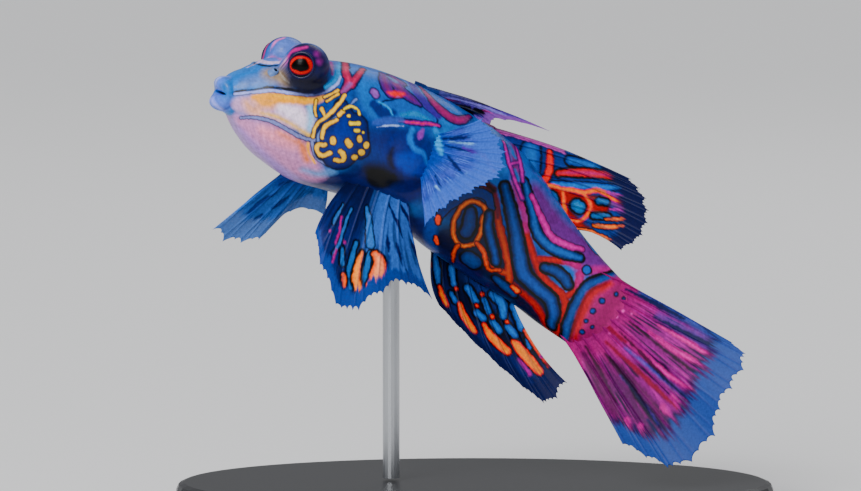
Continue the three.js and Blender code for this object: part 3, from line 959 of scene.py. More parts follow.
BLUE_RIM = "#04060f"
GOLD = "#eec400"
HEAD_MARKS = (
    # Painted wet highlights on both lips, and painted shade in the crease behind them
    mark("#b4bcf0", band((0.3, 0.5, 0.3), (21.3, 8.2), (21.9, 7.7), (22.7, 7.6)), soft=0.4, strength=0.9),
    mark("#a8acec", band((0.3, 0.5, 0.3), (21.1, 9.9), (21.5, 10.5), (22.2, 10.9)), soft=0.4, strength=0.9),
    mark("#3c4c9c", band((0.12, 0.2, 0.12), (22.9, 7.8), (23.3, 8.6), (23.4, 9.4)), soft=0.2, strength=0.8),
    mark("#3c4c9c", band((0.12, 0.2, 0.12), (22.4, 11.0), (23.0, 10.6), (23.4, 10.0)), soft=0.2,
        strength=0.8),
    # Blue snout with a brown patch before the eye
    mark("#4a7cc0", band((1.8, 3.0, 2.4), (22.6, 9.0), (24.2, 8.0), (25.8, 6.9)), soft=1.0),
    mark("#7c8ec0", band((0.9, 1.4, 1.2), (24.6, 8.2), (26.0, 7.9), (27.0, 8.1)), soft=0.9, strength=0.8),
    mark("#b3a088", band((1.2, 1.7, 1.3), (26.7, 7.3), (27.8, 7.5), (28.6, 8.2)), soft=0.9, strength=0.9),
    mark("#6a5a50", band((0.5, 0.7, 0.4), (28.3, 6.8), (28.5, 7.6), (28.8, 8.4)), soft=0.6, strength=0.7),
    # Pale cheek with its gold, white and blue tints
    mark("#cfb2d4", band((1.6, 2.4, 3.0, 2.0), (23.9, 10.5), (26.0, 10.6), (28.6, 11.2), (30.6, 12.2)),
        soft=0.5),
    mark("#e7b69a", band((0.8, 1.0, 0.9), (24.6, 10.3), (25.2, 11.0), (25.9, 11.2)), soft=0.7, strength=0.8),
    mark("#e8b000", band((0.7, 1.2, 0.9), (25.6, 10.0), (26.6, 10.3), (27.8, 10.2)), soft=0.8, strength=0.95),
    mark("#f4e8fa", band((1.0, 1.6, 1.4), (28.2, 10.9), (29.6, 11.5), (30.4, 12.3)), soft=0.8, strength=0.95),
    mark("#a6cbe8", band((0.6, 0.8, 0.5), (31.0, 10.5), (31.1, 11.7), (30.9, 13.0)), soft=0.5, strength=0.9),
    mark("#ecc860", band((0.3, 0.4, 0.4), (26.2, 11.3), (28.0, 11.8), (29.6, 12.7), (31.0, 13.6)), soft=0.4,
        strength=0.85),
    # Pink and lilac throat
    mark("#d4a3c6", band((1.4, 3.0, 4.0, 4.0, 2.6), (24.0, 12.3), (25.6, 13.3), (27.6, 14.6), (29.6, 16.0),
        (31.2, 17.4)), soft=0.9),
    mark("#b396d6", band((0.8, 1.2, 1.4), (24.0, 12.9), (26.4, 15.4), (29.0, 17.6)), soft=1.0, strength=0.7),
    mark("#eba6b4", band((0.8, 1.4, 1.0), (26.2, 13.0), (27.8, 13.8), (29.4, 14.6)), soft=0.9, strength=0.8),
    mark("#e79a86", band((0.3, 0.6, 0.4), (27.8, 13.2), (28.9, 13.8), (29.8, 14.3)), soft=0.5, strength=0.7),
    mark("#e0902c", band((0.4, 0.9, 0.7), (29.9, 14.1), (30.4, 15.0), (30.7, 16.0)), soft=0.6, strength=0.85),
    mark("#8fb2e2", band((0.6, 1.0, 0.8), (30.4, 17.0), (31.8, 17.4), (33.2, 17.2)), soft=0.8, strength=0.8),
    # Pale brow line and the dark line under it
    mark("#d6c6e2", band((0.25, 0.5, 0.6, 0.4), (24.4, 5.9), (25.8, 6.0), (27.0, 6.3), (28.5, 6.1)),
        soft=0.2),
    mark("#0d1436", band((0.1, 0.26, 0.18), (24.8, 6.1), (26.6, 6.6), (28.2, 6.5)), soft=0.14),
    # Gold bar from the mouth to below the eye
    mark("#e8b000", band((0.4, 0.9, 0.96, 0.74, 0.5), (25.2, 9.7), (27.2, 9.66), (29.4, 9.95), (31.4, 10.05),
        (32.3, 9.7)), soft=0.3),
    mark("#f0c400", band((0.1, 0.2, 0.24, 0.2), (27.0, 9.5), (29.2, 9.78), (31.0, 9.95), (32.1, 9.75)),
        soft=0.14, strength=0.8),
    # Pale blue line over the bar and the dark line between them
    mark("#aab0e6", band((0.25, 0.3, 0.3), (23.5, 9.4), (25.3, 9.2), (27.0, 9.05), (29.0, 9.3), (30.8, 9.5)),
        band((0.3, 0.3, 0.3), (30.8, 9.5), (32.4, 9.2), (33.7, 8.4), (34.0, 7.6)), rim=("#17234f", 0.08),
        soft=0.12),
    mark("#0a0f2b", band((0.16, 0.22, 0.28, 0.4, 0.2), (23.4, 9.15), (25.3, 8.95), (27.0, 8.72), (29.0, 8.95),
        (30.8, 9.15), (32.2, 8.9), (33.2, 8.2)), soft=0.14),
    # Line under the cheek, down to the gill cover, with gold beside it
    mark("#9094c4", band((0.2, 0.3, 0.34, 0.3), (24.0, 11.8), (25.5, 11.75), (27.2, 12.15), (29.0, 13.1),
        (30.3, 13.8), (31.5, 14.0)), band(0.26, (31.2, 14.1), (31.5, 15.6), (32.6, 16.4), (33.6, 16.6)),
        rim=("#1b2552", 0.1), soft=0.1),
    mark("#f0b800", band(0.24, (30.8, 14.3), (30.9, 15.3), (31.5, 16.3)), soft=0.16),
)
EYE_MARKS = (
    # Dark blue turret
    mark("#0a1c62", band((3.4, 4.6, 3.6), (30.4, 5.2), (30.8, 6.8), (31.6, 7.9)), soft=0.5),
    mark("#04103c", band((1.2, 2.2, 1.6), (29.2, 8.2), (30.4, 8.6), (31.8, 8.4)), soft=0.9, strength=0.9),
    # Violet, pink and pale blue patches round the eye
    mark("#3c1c6c", band((0.8, 1.4, 1.2), (31.0, 4.9), (32.2, 5.4), (32.8, 6.6)), soft=0.8, strength=0.8),
    mark("#c04a8c", band((0.3, 0.5, 0.4), (28.8, 5.6), (29.4, 5.0), (30.6, 4.7)), soft=0.3, strength=0.9),
    mark("#4474b8", band((0.4, 0.6, 0.4), (32.2, 4.2), (32.9, 5.6), (33.2, 6.8)), soft=0.7, strength=0.55),
    mark("#7480c0", band((0.6, 0.9), (28.2, 4.9), (30.2, 4.05), (31.4, 4.1)), soft=0.6, strength=0.75),
    mark("#d98bc0", band((0.3, 0.4, 0.3), (28.9, 4.8), (29.6, 4.5), (30.2, 4.3)), soft=0.22),
    mark("#a6389a", band(0.5, (31.7, 5.4), (31.9, 6.2)), soft=0.5, strength=0.7),
    mark("#c77fb4", band(0.35, (27.9, 5.8), (28.6, 6.2)), soft=0.4, strength=0.8),
    mark("#a03c9c", band((0.3, 0.4, 0.2), (32.9, 5.8), (33.15, 6.6), (33.2, 7.4)), soft=0.25),
    # Light blue crescent behind the eye and the red fork behind that
    mark("#4d96cc", band((0.5, 0.55, 0.4), (34.1, 5.9), (33.9, 7.0), (33.5, 8.0), (32.6, 8.7)), soft=0.25),
    mark("#a8345c", band((0.5, 0.75, 0.8, 0.5), (34.5, 6.2), (34.6, 7.3), (34.9, 8.3), (34.3, 9.2)),
        band((0.4, 0.6, 0.7), (36.3, 6.9), (35.7, 7.7), (35.1, 8.5)), rim=("#0b1d5e", 0.2),
        core=("#c8406c", 0.4)),
    mark("#8f6fae", band((0.5, 0.4), (35.0, 8.4), (34.3, 9.2)), soft=0.35, strength=0.8),
    mark("#5f80b4", band(0.3, (35.1, 7.0), (35.3, 7.3)), soft=0.2),
    mark("#9a6cb8", band(0.7, (37.4, 9.2), (37.6, 9.5)), rim=("#0b1d5e", 0.2), soft=0.2),
)
GILL_MARKS = (
    # Blue gill cover with its pale front line
    mark("#0a2a78", band((1.2, 2.6, 4.2, 3.4), (34.2, 10.6), (34.4, 12.4), (34.3, 14.0), (34.0, 15.4)),
        band((2.4, 1.6), (35.6, 12.6), (36.2, 15.0)), band((1.2, 1.6), (32.6, 13.0), (32.4, 15.2)),
        rim=("#0a1237", 0.2), core=("#0c3a98", 1.6), soft=0.2),
    mark("#7f8fc2",
        band((0.2, 0.26, 0.22), (35.6, 9.9), (34.4, 11.1), (32.9, 12.3), (31.95, 13.2), (31.8, 14.2)),
        rim=("#121b4c", 0.08)),
    # Gold branches in front
    mark(GOLD, band((0.28, 0.36, 0.34, 0.3, 0.3), (34.5, 9.5), (33.8, 10.5), (32.6, 11.7), (31.7, 12.4),
        (31.3, 13.7)), band(0.32, (32.2, 10.9), (32.5, 11.7)),
        band(0.2, (31.6, 10.0), (31.5, 10.8), (31.6, 11.6)),
        band((0.3, 0.4, 0.36), (33.7, 12.0), (32.7, 12.5), (32.3, 13.0), (32.2, 13.8)),
        band(0.22, (32.4, 9.75), (33.2, 9.35), (33.8, 9.0)), band(0.2, (32.7, 10.1), (33.8, 9.4)),
        rim=("#101a45", 0.12), core=("#f4cc00", 0.12)),
    # Gold hooks and dots
    mark(GOLD, band(0.42, (32.5, 14.5), (31.8, 14.5), (31.7, 15.15), (32.3, 15.6), (33.0, 15.25)),
        band((0.4, 0.52, 0.48, 0.4), (34.0, 15.1), (34.4, 15.6), (34.3, 16.1), (33.5, 16.0)),
        band(0.52, (33.3, 13.95), (33.3, 14.15)), band(0.55, (34.7, 14.1), (35.0, 14.45)),
        band(0.62, (36.6, 14.5)), band(0.5, (35.95, 13.75), (35.97, 13.95)),
        band(0.56, (36.1, 15.2), (36.2, 15.3)), band(0.56, (35.4, 15.75), (35.5, 15.7)),
        band(0.44, (33.9, 11.5), (34.3, 11.15)), rim=("#0a1438", 0.12), core=("#f4cc00", 0.18)),
    # Paler gold dots above
    mark("#ffd850", band(0.26, (34.4, 10.95), (35.0, 10.6), (35.7, 10.85), (35.95, 11.35)),
        band(0.3, (34.85, 11.6)), band(0.4, (35.1, 12.4), (35.9, 12.3)),
        band(0.34, (35.5, 13.05), (35.9, 13.05)), band(0.2, (36.3, 13.25)), rim=("#0a1438", 0.1)),
)
NAPE_MARKS = (
    # Blue nape and shoulder
    mark("#2478c0", band((1.6, 2.4, 1.4), (36.6, 7.2), (36.9, 9.4), (37.3, 11.2)), soft=0.8, strength=0.7),
    mark("#1767b2", band((1.6, 2.0, 1.0), (38.9, 10.9), (40.9, 10.9), (43.2, 11.9)), rim=("#072562", 0.2)),
    mark("#2f9ac4", band((0.3, 0.5, 0.3), (40.2, 11.5), (41.6, 11.4), (43.0, 12.1)), soft=0.4, strength=0.7),
    mark("#0a3686", band((0.9, 1.2, 0.7), (37.4, 10.4), (38.2, 11.2), (39.4, 11.3)), soft=0.3),
    mark("#5fa0d8", band(0.2, (37.9, 10.2), (38.9, 10.8), (39.2, 11.5)), soft=0.16),
    # Violet bands from behind the head towards the first dorsal fin
    mark("#44309a", band((0.8, 1.2, 0.8), (40.9, 8.0), (42.2, 9.9), (43.8, 11.6)), soft=0.3),
    mark("#5c2c90", band((0.6, 1.1, 1.2, 0.8), (38.3, 7.4), (38.6, 8.4), (39.0, 9.4)),
        band((1.4, 1.2, 0.9, 0.2), (39.6, 8.4), (40.3, 9.2), (41.2, 9.9), (42.0, 10.5)),
        band((0.9, 0.9), (39.2, 7.6), (40.2, 8.3)), rim=("#0a1d64", 0.22), core=("#8c2c84", 0.6)),
    mark("#e2504e", band((0.3, 0.7, 0.3), (38.9, 9.3), (39.6, 9.4), (40.4, 9.4)), soft=0.4, strength=0.95),
    mark("#6d7ab4", band((0.4, 0.7), (38.9, 7.7), (39.5, 8.1)), soft=0.3),
    mark("#8c0c74", band((0.2, 0.6, 0.9, 1.0, 0.9, 0.4), (41.9, 8.6), (42.6, 9.3), (43.6, 10.5), (45.0, 11.7),
        (46.1, 12.0), (47.0, 11.6)), rim=("#0a1a66", 0.2), core=("#a40c72", 0.4)),
    # Painted highlight: a small pale cream glint on the nape
    mark("#f2cf98", band((0.2, 0.36, 0.2), (41.2, 8.2), (41.8, 8.35), (42.4, 8.8)), rim=("#3a2a5e", 0.06)),
    # Shoulder above the pectoral fin
    mark("#9a3aa0", band((0.2, 0.4, 0.4, 0.2), (39.9, 12.1), (41.7, 12.3), (43.0, 12.4), (43.9, 12.6)),
        rim=("#0a1d64", 0.14), core=("#d0306a", 0.14)),
    # Painted highlights: light blue on the fin base lobe above the pectoral fin
    mark("#4a8cca", band((0.7, 0.4), (41.2, 13.1), (41.0, 13.9)),
        band((0.5, 0.9, 0.5), (43.5, 12.9), (43.9, 14.0), (44.2, 15.3)), soft=0.25),
    # Deep shade under the gill cover and the blues around it
    mark("#021e74", band((2.8, 4.4, 3.4), (39.4, 14.0), (40.6, 16.2), (41.4, 18.4)), soft=1.6, strength=0.9),
    mark("#010410", band((1.6, 2.6, 1.2), (37.0, 17.0), (38.2, 17.6), (39.6, 18.0)), soft=0.9, strength=0.85),
    mark("#082c80", band((1.4, 2.6, 2.6, 1.6), (37.6, 14.0), (39.4, 14.2), (41.4, 14.2), (43.4, 14.4)),
        soft=0.9, strength=0.8),
    mark("#0c44a4", band((1.4, 2.4, 1.6), (40.2, 16.0), (41.4, 16.4), (42.2, 16.9)), soft=0.7, strength=0.9),
    mark("#02103c", band((0.3, 0.6, 0.4), (39.3, 14.8), (39.0, 15.7), (39.3, 16.8)), soft=0.4, strength=0.9),
    mark("#021448", band((0.5, 0.9, 0.7), (43.5, 15.2), (44.0, 16.4), (43.4, 17.6)), soft=0.5, strength=0.9),
    # Painted highlight: light blue along the edge of the fin base lobe
    mark("#4c7cc8", band((0.3, 0.6, 0.5, 0.5, 0.2), (41.2, 12.9), (41.0, 13.9), (41.5, 14.9), (42.3, 15.3),
        (42.7, 16.4)), soft=0.3, strength=0.85),
    mark("#5468b4", band((0.5, 0.9, 0.6), (37.4, 12.3), (38.8, 12.1), (40.2, 12.0)), soft=0.3, strength=0.8),
    mark("#9c58b4", band((0.3, 0.6, 0.2), (42.3, 13.0), (42.0, 13.5), (41.9, 13.9)), soft=0.2, strength=0.9),
    # Painted highlight: a thin pale line near the pectoral fin's base
    mark("#b4c4ec", band((0.1, 0.16, 0.1), (37.7, 12.7), (39.0, 12.55), (40.4, 12.6)), soft=0.1),
    # Painted shadow: the black hollow between the fin base and the pelvic fin
    mark("#01060c", band((1.2, 2.2, 1.0), (37.2, 17.4), (38.0, 17.9), (39.2, 17.8)), soft=0.35),
    # Pink line along the back and its neighbours
    mark("#d77ec2", band((0.3, 0.5, 0.3), (48.0, 11.6), (50.6, 12.7), (53.2, 14.0)), rim=("#2b2f86", 0.14)),
    mark("#b5309a", band((0.5, 0.6), (45.4, 9.7), (46.8, 10.2)), soft=0.4),
    mark("#0b0e2e", band((0.5, 0.9, 0.5), (45.9, 10.4), (47.0, 10.8), (48.2, 11.0)), soft=0.25),
)
FLANK_GROUND = (
    # Dark belly, violet rear and back
    mark("#0a1446", band((4.0, 5.0, 6.0, 5.0), (45.0, 24.0), (48.0, 25.0), (52.0, 28.0), (54.0, 31.0)),
        soft=1.6, strength=0.9),
    mark("#7a1c86", band((1.6, 2.4, 2.8, 2.4), (53.6, 19.0), (55.6, 22.4), (58.6, 25.2), (61.0, 27.4)),
        soft=1.2, strength=0.9),
    mark("#8e2a7c", band((1.0, 1.4, 1.0), (51.4, 14.6), (51.8, 17.6), (52.4, 20.6)), soft=0.7, strength=0.9),
    # Rust, magenta and orange bands
    mark("#8c2838", band((0.6, 0.8, 0.9, 0.9, 0.8), (50.9, 28.1), (52.3, 29.4), (53.6, 30.6), (54.5, 32.3),
        (54.9, 33.6)), band((0.7, 0.8, 0.8, 0.8, 0.9, 1.0, 0.9), (52.5, 22.5), (52.9, 24.3), (53.6, 26.3),
        (54.2, 27.6), (55.3, 28.7), (56.2, 29.5), (56.6, 30.5)),
        band((0.9, 1.0, 1.1, 1.0), (56.6, 30.3), (56.0, 32.1), (55.6, 33.4), (55.8, 34.6)),
        band((0.7, 0.8, 0.8, 0.7), (53.6, 25.9), (54.9, 26.0), (56.7, 26.1), (57.8, 26.6)),
        band((0.8, 0.9, 0.8), (56.8, 29.6), (57.8, 28.6), (58.0, 27.5)), core=("#b44426", 0.34), soft=0.16),
    mark("#b01880", band((0.6, 0.8, 0.9, 0.8), (51.4, 18.3), (52.0, 19.8), (52.4, 21.2), (52.6, 22.8)),
        band((0.6, 0.9, 0.8), (56.6, 26.0), (58.0, 26.9), (57.9, 28.6)),
        band((0.5, 0.8, 0.6), (58.0, 27.2), (59.6, 27.0), (61.2, 26.9)), soft=0.5, strength=0.85),
    mark("#a03420", band((0.4, 0.7, 0.75, 0.75, 0.8, 0.7), (49.6, 20.2), (49.8, 22.0), (50.25, 23.9),
        (50.7, 25.8), (50.9, 27.4), (50.9, 28.2)),
        band((0.6, 0.7, 0.5), (50.8, 27.4), (49.6, 26.9), (48.8, 26.0)), rim=("#0d0710", 0.1),
        core=("#bc5c30", 0.3)),
    mark("#7c1f3e", band((0.5, 0.7, 0.7, 0.4), (48.0, 18.5), (49.1, 19.0), (49.6, 20.2), (49.8, 21.8)),
        soft=0.3),
)
FLANK_MARKS = (
    # Dark arch over the first loop
    mark("#120a12", band((0.4, 0.7, 0.8, 0.5), (43.6, 20.3), (45.8, 19.0), (48.2, 18.3), (49.4, 19.0)),
        soft=0.4),
    mark("#5c1626", band((0.3, 0.5, 0.3), (46.4, 18.7), (48.2, 18.2), (49.6, 18.8)), soft=0.3, strength=0.9),
    # Blue arch and the blue below it
    mark("#0a3a8c", band((0.7, 0.9, 0.9, 0.8, 0.6), (43.9, 21.6), (45.4, 20.2), (47.2, 19.3), (48.7, 19.6),
        (49.1, 20.8)), rim=(BLUE_RIM, 0.16), core=("#083c84", 0.35)),
    mark("#0c4a9c", band((0.9, 1.4, 1.2), (43.2, 22.2), (43.0, 24.0), (43.6, 26.0)), soft=0.5),
    mark("#04387c", band((0.8, 1.25, 1.0), (47.1, 21.2), (46.95, 22.4), (46.6, 23.3)), rim=(BLUE_RIM, 0.3),
        core=("#08488c", 0.4)),
    # Orange loop, its legs and the blue between them
    mark("#b85c24", band(0.44, (45.4, 22.1), (45.3, 23.3), (45.7, 24.2), (46.3, 24.6), (47.1, 24.5),
        (47.6, 24.2), (48.1, 23.2), (48.25, 21.9), (48.6, 21.3), (48.4, 20.7), (47.7, 20.2), (46.9, 20.2),
        (46.0, 20.9), (45.4, 22.1)), rim=("#120a10", 0.16), core=("#dc8838", 0.16)),
    mark("#b8523a", band((0.34, 0.4, 0.26), (45.8, 24.5), (45.4, 25.2), (45.3, 26.2)),
        band((0.4, 0.5, 0.44, 0.4), (47.7, 24.3), (48.35, 25.2), (48.6, 26.3), (49.0, 27.0), (49.9, 27.0)),
        rim=("#120a10", 0.12), core=("#d97238", 0.18)),
    mark("#053c7c", band((1.6, 1.7), (46.9, 25.9), (47.3, 26.2)), rim=(BLUE_RIM, 0.26),
        core=("#0a5094", 0.5)),
    # Blue bands down the flank
    mark("#043470", band((0.6, 0.75, 0.8, 0.75, 0.7), (48.94, 21.4), (48.83, 22.8), (49.17, 24.3),
        (49.5, 25.4), (49.6, 26.2)), rim=(BLUE_RIM, 0.26), core=("#0454a0", 0.3)),
    mark("#043672", band((0.8, 1.0, 1.15, 1.35, 1.4), (50.5, 18.6), (51.2, 21.4), (51.66, 23.7), (52.0, 25.9),
        (52.3, 27.4)), band((1.4, 1.25, 1.2, 1.1, 0.8), (52.3, 27.4), (53.6, 28.7), (55.0, 29.9),
        (55.35, 31.2), (55.1, 32.6)), rim=(BLUE_RIM, 0.3), core=("#0058a4", 0.5)),
    mark("#053e7c", band((0.7, 0.8, 0.8, 0.9, 1.0, 0.9, 0.7), (52.5, 18.1), (52.9, 19.9), (53.3, 21.4),
        (53.7, 23.2), (54.94, 24.6), (56.7, 25.4), (58.0, 25.8)), rim=(BLUE_RIM, 0.24),
        core=("#1868b0", 0.34)),
    mark("#043672", band((0.8, 0.9, 0.95, 0.8), (54.5, 26.8), (55.6, 27.1), (56.5, 27.9), (56.8, 28.5)),
        rim=(BLUE_RIM, 0.26), core=("#0a5296", 0.36)),
    # Magenta bands to the rear and up the back
    mark("#a81c84", band((0.5, 0.65, 0.7, 0.7, 0.5), (53.2, 19.6), (54.3, 22.1), (55.2, 23.7), (56.7, 24.5),
        (58.2, 24.9)), rim=("#220a4a", 0.1), core=("#c8409c", 0.24)),
    mark("#982c90", band((0.3, 0.4, 0.4, 0.4), (50.4, 14.2), (50.9, 16.2), (51.5, 18.0), (52.2, 19.8)),
        band((0.3, 0.4, 0.4), (51.4, 14.0), (52.0, 16.2), (52.3, 18.1)),
        band((0.3, 0.3), (50.9, 16.4), (51.9, 16.2)), rim=("#1c1470", 0.12), core=("#c44ca4", 0.16)),
    mark("#4d72b4", band((0.3, 0.5, 0.3), (51.1, 14.6), (51.5, 15.8)), band(0.3, (51.5, 17.0), (51.9, 18.0)),
        soft=0.2),
    # Small blue and orange patches, and the long blue band along the tail stalk
    mark("#053c7c", band((0.7, 1.0, 0.8), (49.6, 27.9), (50.3, 28.5), (51.3, 29.4)), rim=(BLUE_RIM, 0.24),
        core=("#0c5494", 0.34)),
    mark("#c84e2a", band((0.5, 0.7), (51.3, 28.7), (51.7, 29.1)), rim=("#1a0a12", 0.12),
        core=("#f08a38", 0.2)),
    mark("#e46a52", band((0.45, 0.6, 0.4), (43.8, 21.7), (43.8, 22.3)),
        band((0.34, 0.5, 0.3), (43.6, 23.7), (43.7, 24.4)), rim=("#0a0e2c", 0.16)),
    mark("#1560b0", band(0.75, (58.7, 27.0)), band((0.5, 0.8), (59.4, 23.6), (60.2, 24.6)),
        rim=(BLUE_RIM, 0.16), core=("#1468a8", 0.3)),
    mark("#053c7c", band((0.7, 0.8, 0.85, 0.85, 0.85, 0.85, 0.7), (62.6, 27.2), (60.4, 27.9), (58.9, 28.5),
        (58.05, 29.6), (57.4, 30.9), (56.8, 32.4), (56.4, 34.6)), rim=(BLUE_RIM, 0.32),
        core=("#0c589c", 0.34)),
)
TAIL_ROOT_MARKS = (
    # Magenta end of the tail stalk with its red edge
    mark("#ac1078", band((4.6, 5.4, 5.4, 4.6), (65.2, 29.6), (63.6, 31.8), (61.8, 34.4), (60.0, 37.2)),
        soft=0.7),
    mark("#a40c70", band((1.6, 2.6, 3.0, 2.4), (63.2, 28.6), (61.0, 29.6), (59.6, 31.6), (58.4, 34.4)),
        soft=0.5),
    mark("#b41c44", band((0.6, 0.8, 0.9, 0.7), (61.0, 28.4), (59.3, 29.4), (58.3, 31.2), (57.5, 33.8)),
        soft=0.5),
    mark("#8a1a30", band((0.3, 0.3, 0.3), (60.6, 28.3), (58.8, 29.4), (57.9, 31.4), (57.1, 33.8)), soft=0.2,
        strength=0.7),
    # Blue dots
    mark("#101a66", band(0.56, (60.2, 30.1)), band(0.5, (59.3, 31.1)), band(0.44, (58.2, 33.2)),
        band(0.4, (61.6, 29.4)), band(0.4, (58.6, 32.1)), band(0.34, (59.2, 32.7)), band(0.34, (62.4, 29.9)),
        band(0.34, (58.9, 34.2)), rim=("#3a0a50", 0.1), core=("#1c50a4", 0.14)),
)
HIDDEN_MARKS = (
    # Skin under the pectoral fin
    mark("#e4601e", band((0.4, 0.5, 0.4), (44.9, 16.4), (46.0, 16.8), (47.2, 17.4)),
        band((0.4, 0.5, 0.4), (46.2, 13.2), (47.2, 14.8), (48.4, 15.6), (49.4, 17.2)), rim=("#0a0c20", 0.14),
        core=("#f08a30", 0.16)),
    mark("#1a6cb8", band((0.6, 0.8, 0.5), (44.2, 17.9), (45.6, 18.0), (47.2, 17.4)),
        band((0.5, 0.7), (48.2, 13.4), (49.4, 14.8)), rim=("#05081a", 0.16), core=("#2f88cc", 0.3)),
)


@dataclass(frozen=True)
class Wash:
    """A soft coat of one colour under the markings, over a part of the body.

    Each span gives where the coat starts and where it is full. Heights run from -1 at the belly to 1 at the
    back, stations are the spine's. A blotchy coat has a random field's size in mm, seed and span.
    """

    colour: str
    strength: float = 1.0
    heights: tuple[Point, ...] = ()
    stations: tuple[Point, ...] = ()
    blotches: tuple[float, int, Point] | None = None

    def lay(self, canvas: Canvas, high: Array, station: Array) -> None:
        """Lays the coat.

        Args:
            canvas: The canvas over the left half of the skin.
            high: How high each point is on the body.
            station: Each point's station.
        """
        amount = np.ones(len(canvas.points))
        for span in self.heights:
            amount = amount * smooth_step(*span, high)
        for span in self.stations:
            amount = amount * smooth_step(*span, station)
        if self.blotches:
            length, seed, span = self.blotches
            amount = amount * smooth_step(*span, ripples(canvas.points, length, seed))
        canvas.mix(self.colour, self.strength * amount)


WASHES = (
    # Blue all over, paler on the back, deeper below, and blotched
    Wash("#0c4a9a"),
    Wash("#2474c0", 0.7, heights=((0.2, 0.95),)),
    Wash("#021c70", 0.9, heights=((0.15, -0.6),)),
    Wash("#2a88cc", 0.5, blotches=(4.0, 3, (0.0, 0.8))),
    Wash("#052678", 0.5, blotches=(3.0, 8, (0.1, 0.9))),
    # Snout, the strip between the eyes, lips and throat
    Wash("#5a88c8", 0.9, stations=((2.4, 1.2),)),
    Wash("#7888c8", 0.85, heights=((0.92, 0.97),), stations=((1.6, 2.2), (4.4, 3.8))),
    Wash("#7486d4", 0.9, stations=((0.3, -0.1),)),
    Wash("#b89ccc", 0.95, heights=((-0.45, -0.75),), stations=((0.35, 0.7), (4.8, 3.6))),
    # Painted shade on the inner lips and down the way into the mouth
    Wash("#0a0c18", stations=((-0.86, -1.0),)),
)
BODY_MARKS = (
    HIDDEN_MARKS, FLANK_GROUND, FLANK_MARKS, TAIL_ROOT_MARKS, NAPE_MARKS, HEAD_MARKS, EYE_MARKS, GILL_MARKS,
)


def paint_body(canvas: Canvas, station: Array, angle: Array) -> None:
    """Paints the body: the washes, then the markings from tail to head.

    Args:
        canvas: The canvas over the left half of the skin.
        station: Each point's station.
        angle: Its angle round the spine.
    """
    high = np.sin(angle)
    for wash in WASHES:
        wash.lay(canvas, high, station)
    for group in BODY_MARKS:
        for marking in group:
            canvas.draw(marking)
    canvas.mottle()


@dataclass(frozen=True)
class FinShape:
    """Where a fin's rays start and end, as in the solids, and how its edge is cut.

    A fin's base is a span of stations. Its rays leave the skin at a span of angles, or, with a spread, from a
    span of heights over the spine. Shapes are given for the left side, and a right fin mirrors them.
    """

    name: str
    rays: int
    base: tuple[float, float]
    angle: tuple[float, float]
    tips: tuple[Triple, ...]
    bow: Triple
    notch: float
    sink: float
    side: Side = Side.LEFT
    spread: tuple[float, float] | None = None
    along: int = 110
    teeth: int = 4
    flesh: float = 0.5


@dataclass(frozen=True)
class FinLook:
    """Colours of a fin from its root to its edge, how clear its skin is, and its markings."""

    root: str
    middle: str
    edge: str
    edge_share: float = 0.14
    streak: str = "#0a2a70"
    streak_strength: float = 0.35
    second_streak: str = ""
    streak_width: float = 0.5
    ray: str = "#12306e"
    ray_strength: float = 0.5
    film_cover: float = 1.0
    edge_cover: float = 0.92
    inner: str = ""
    inner_from: float = 0.55
    # Painted shade: the whole fin's paint is darkened by this factor, since the lamps light the fins more
    # than the body
    depth: float = 0.8
    border: str = ""
    marks: tuple[Marking, ...] = ()


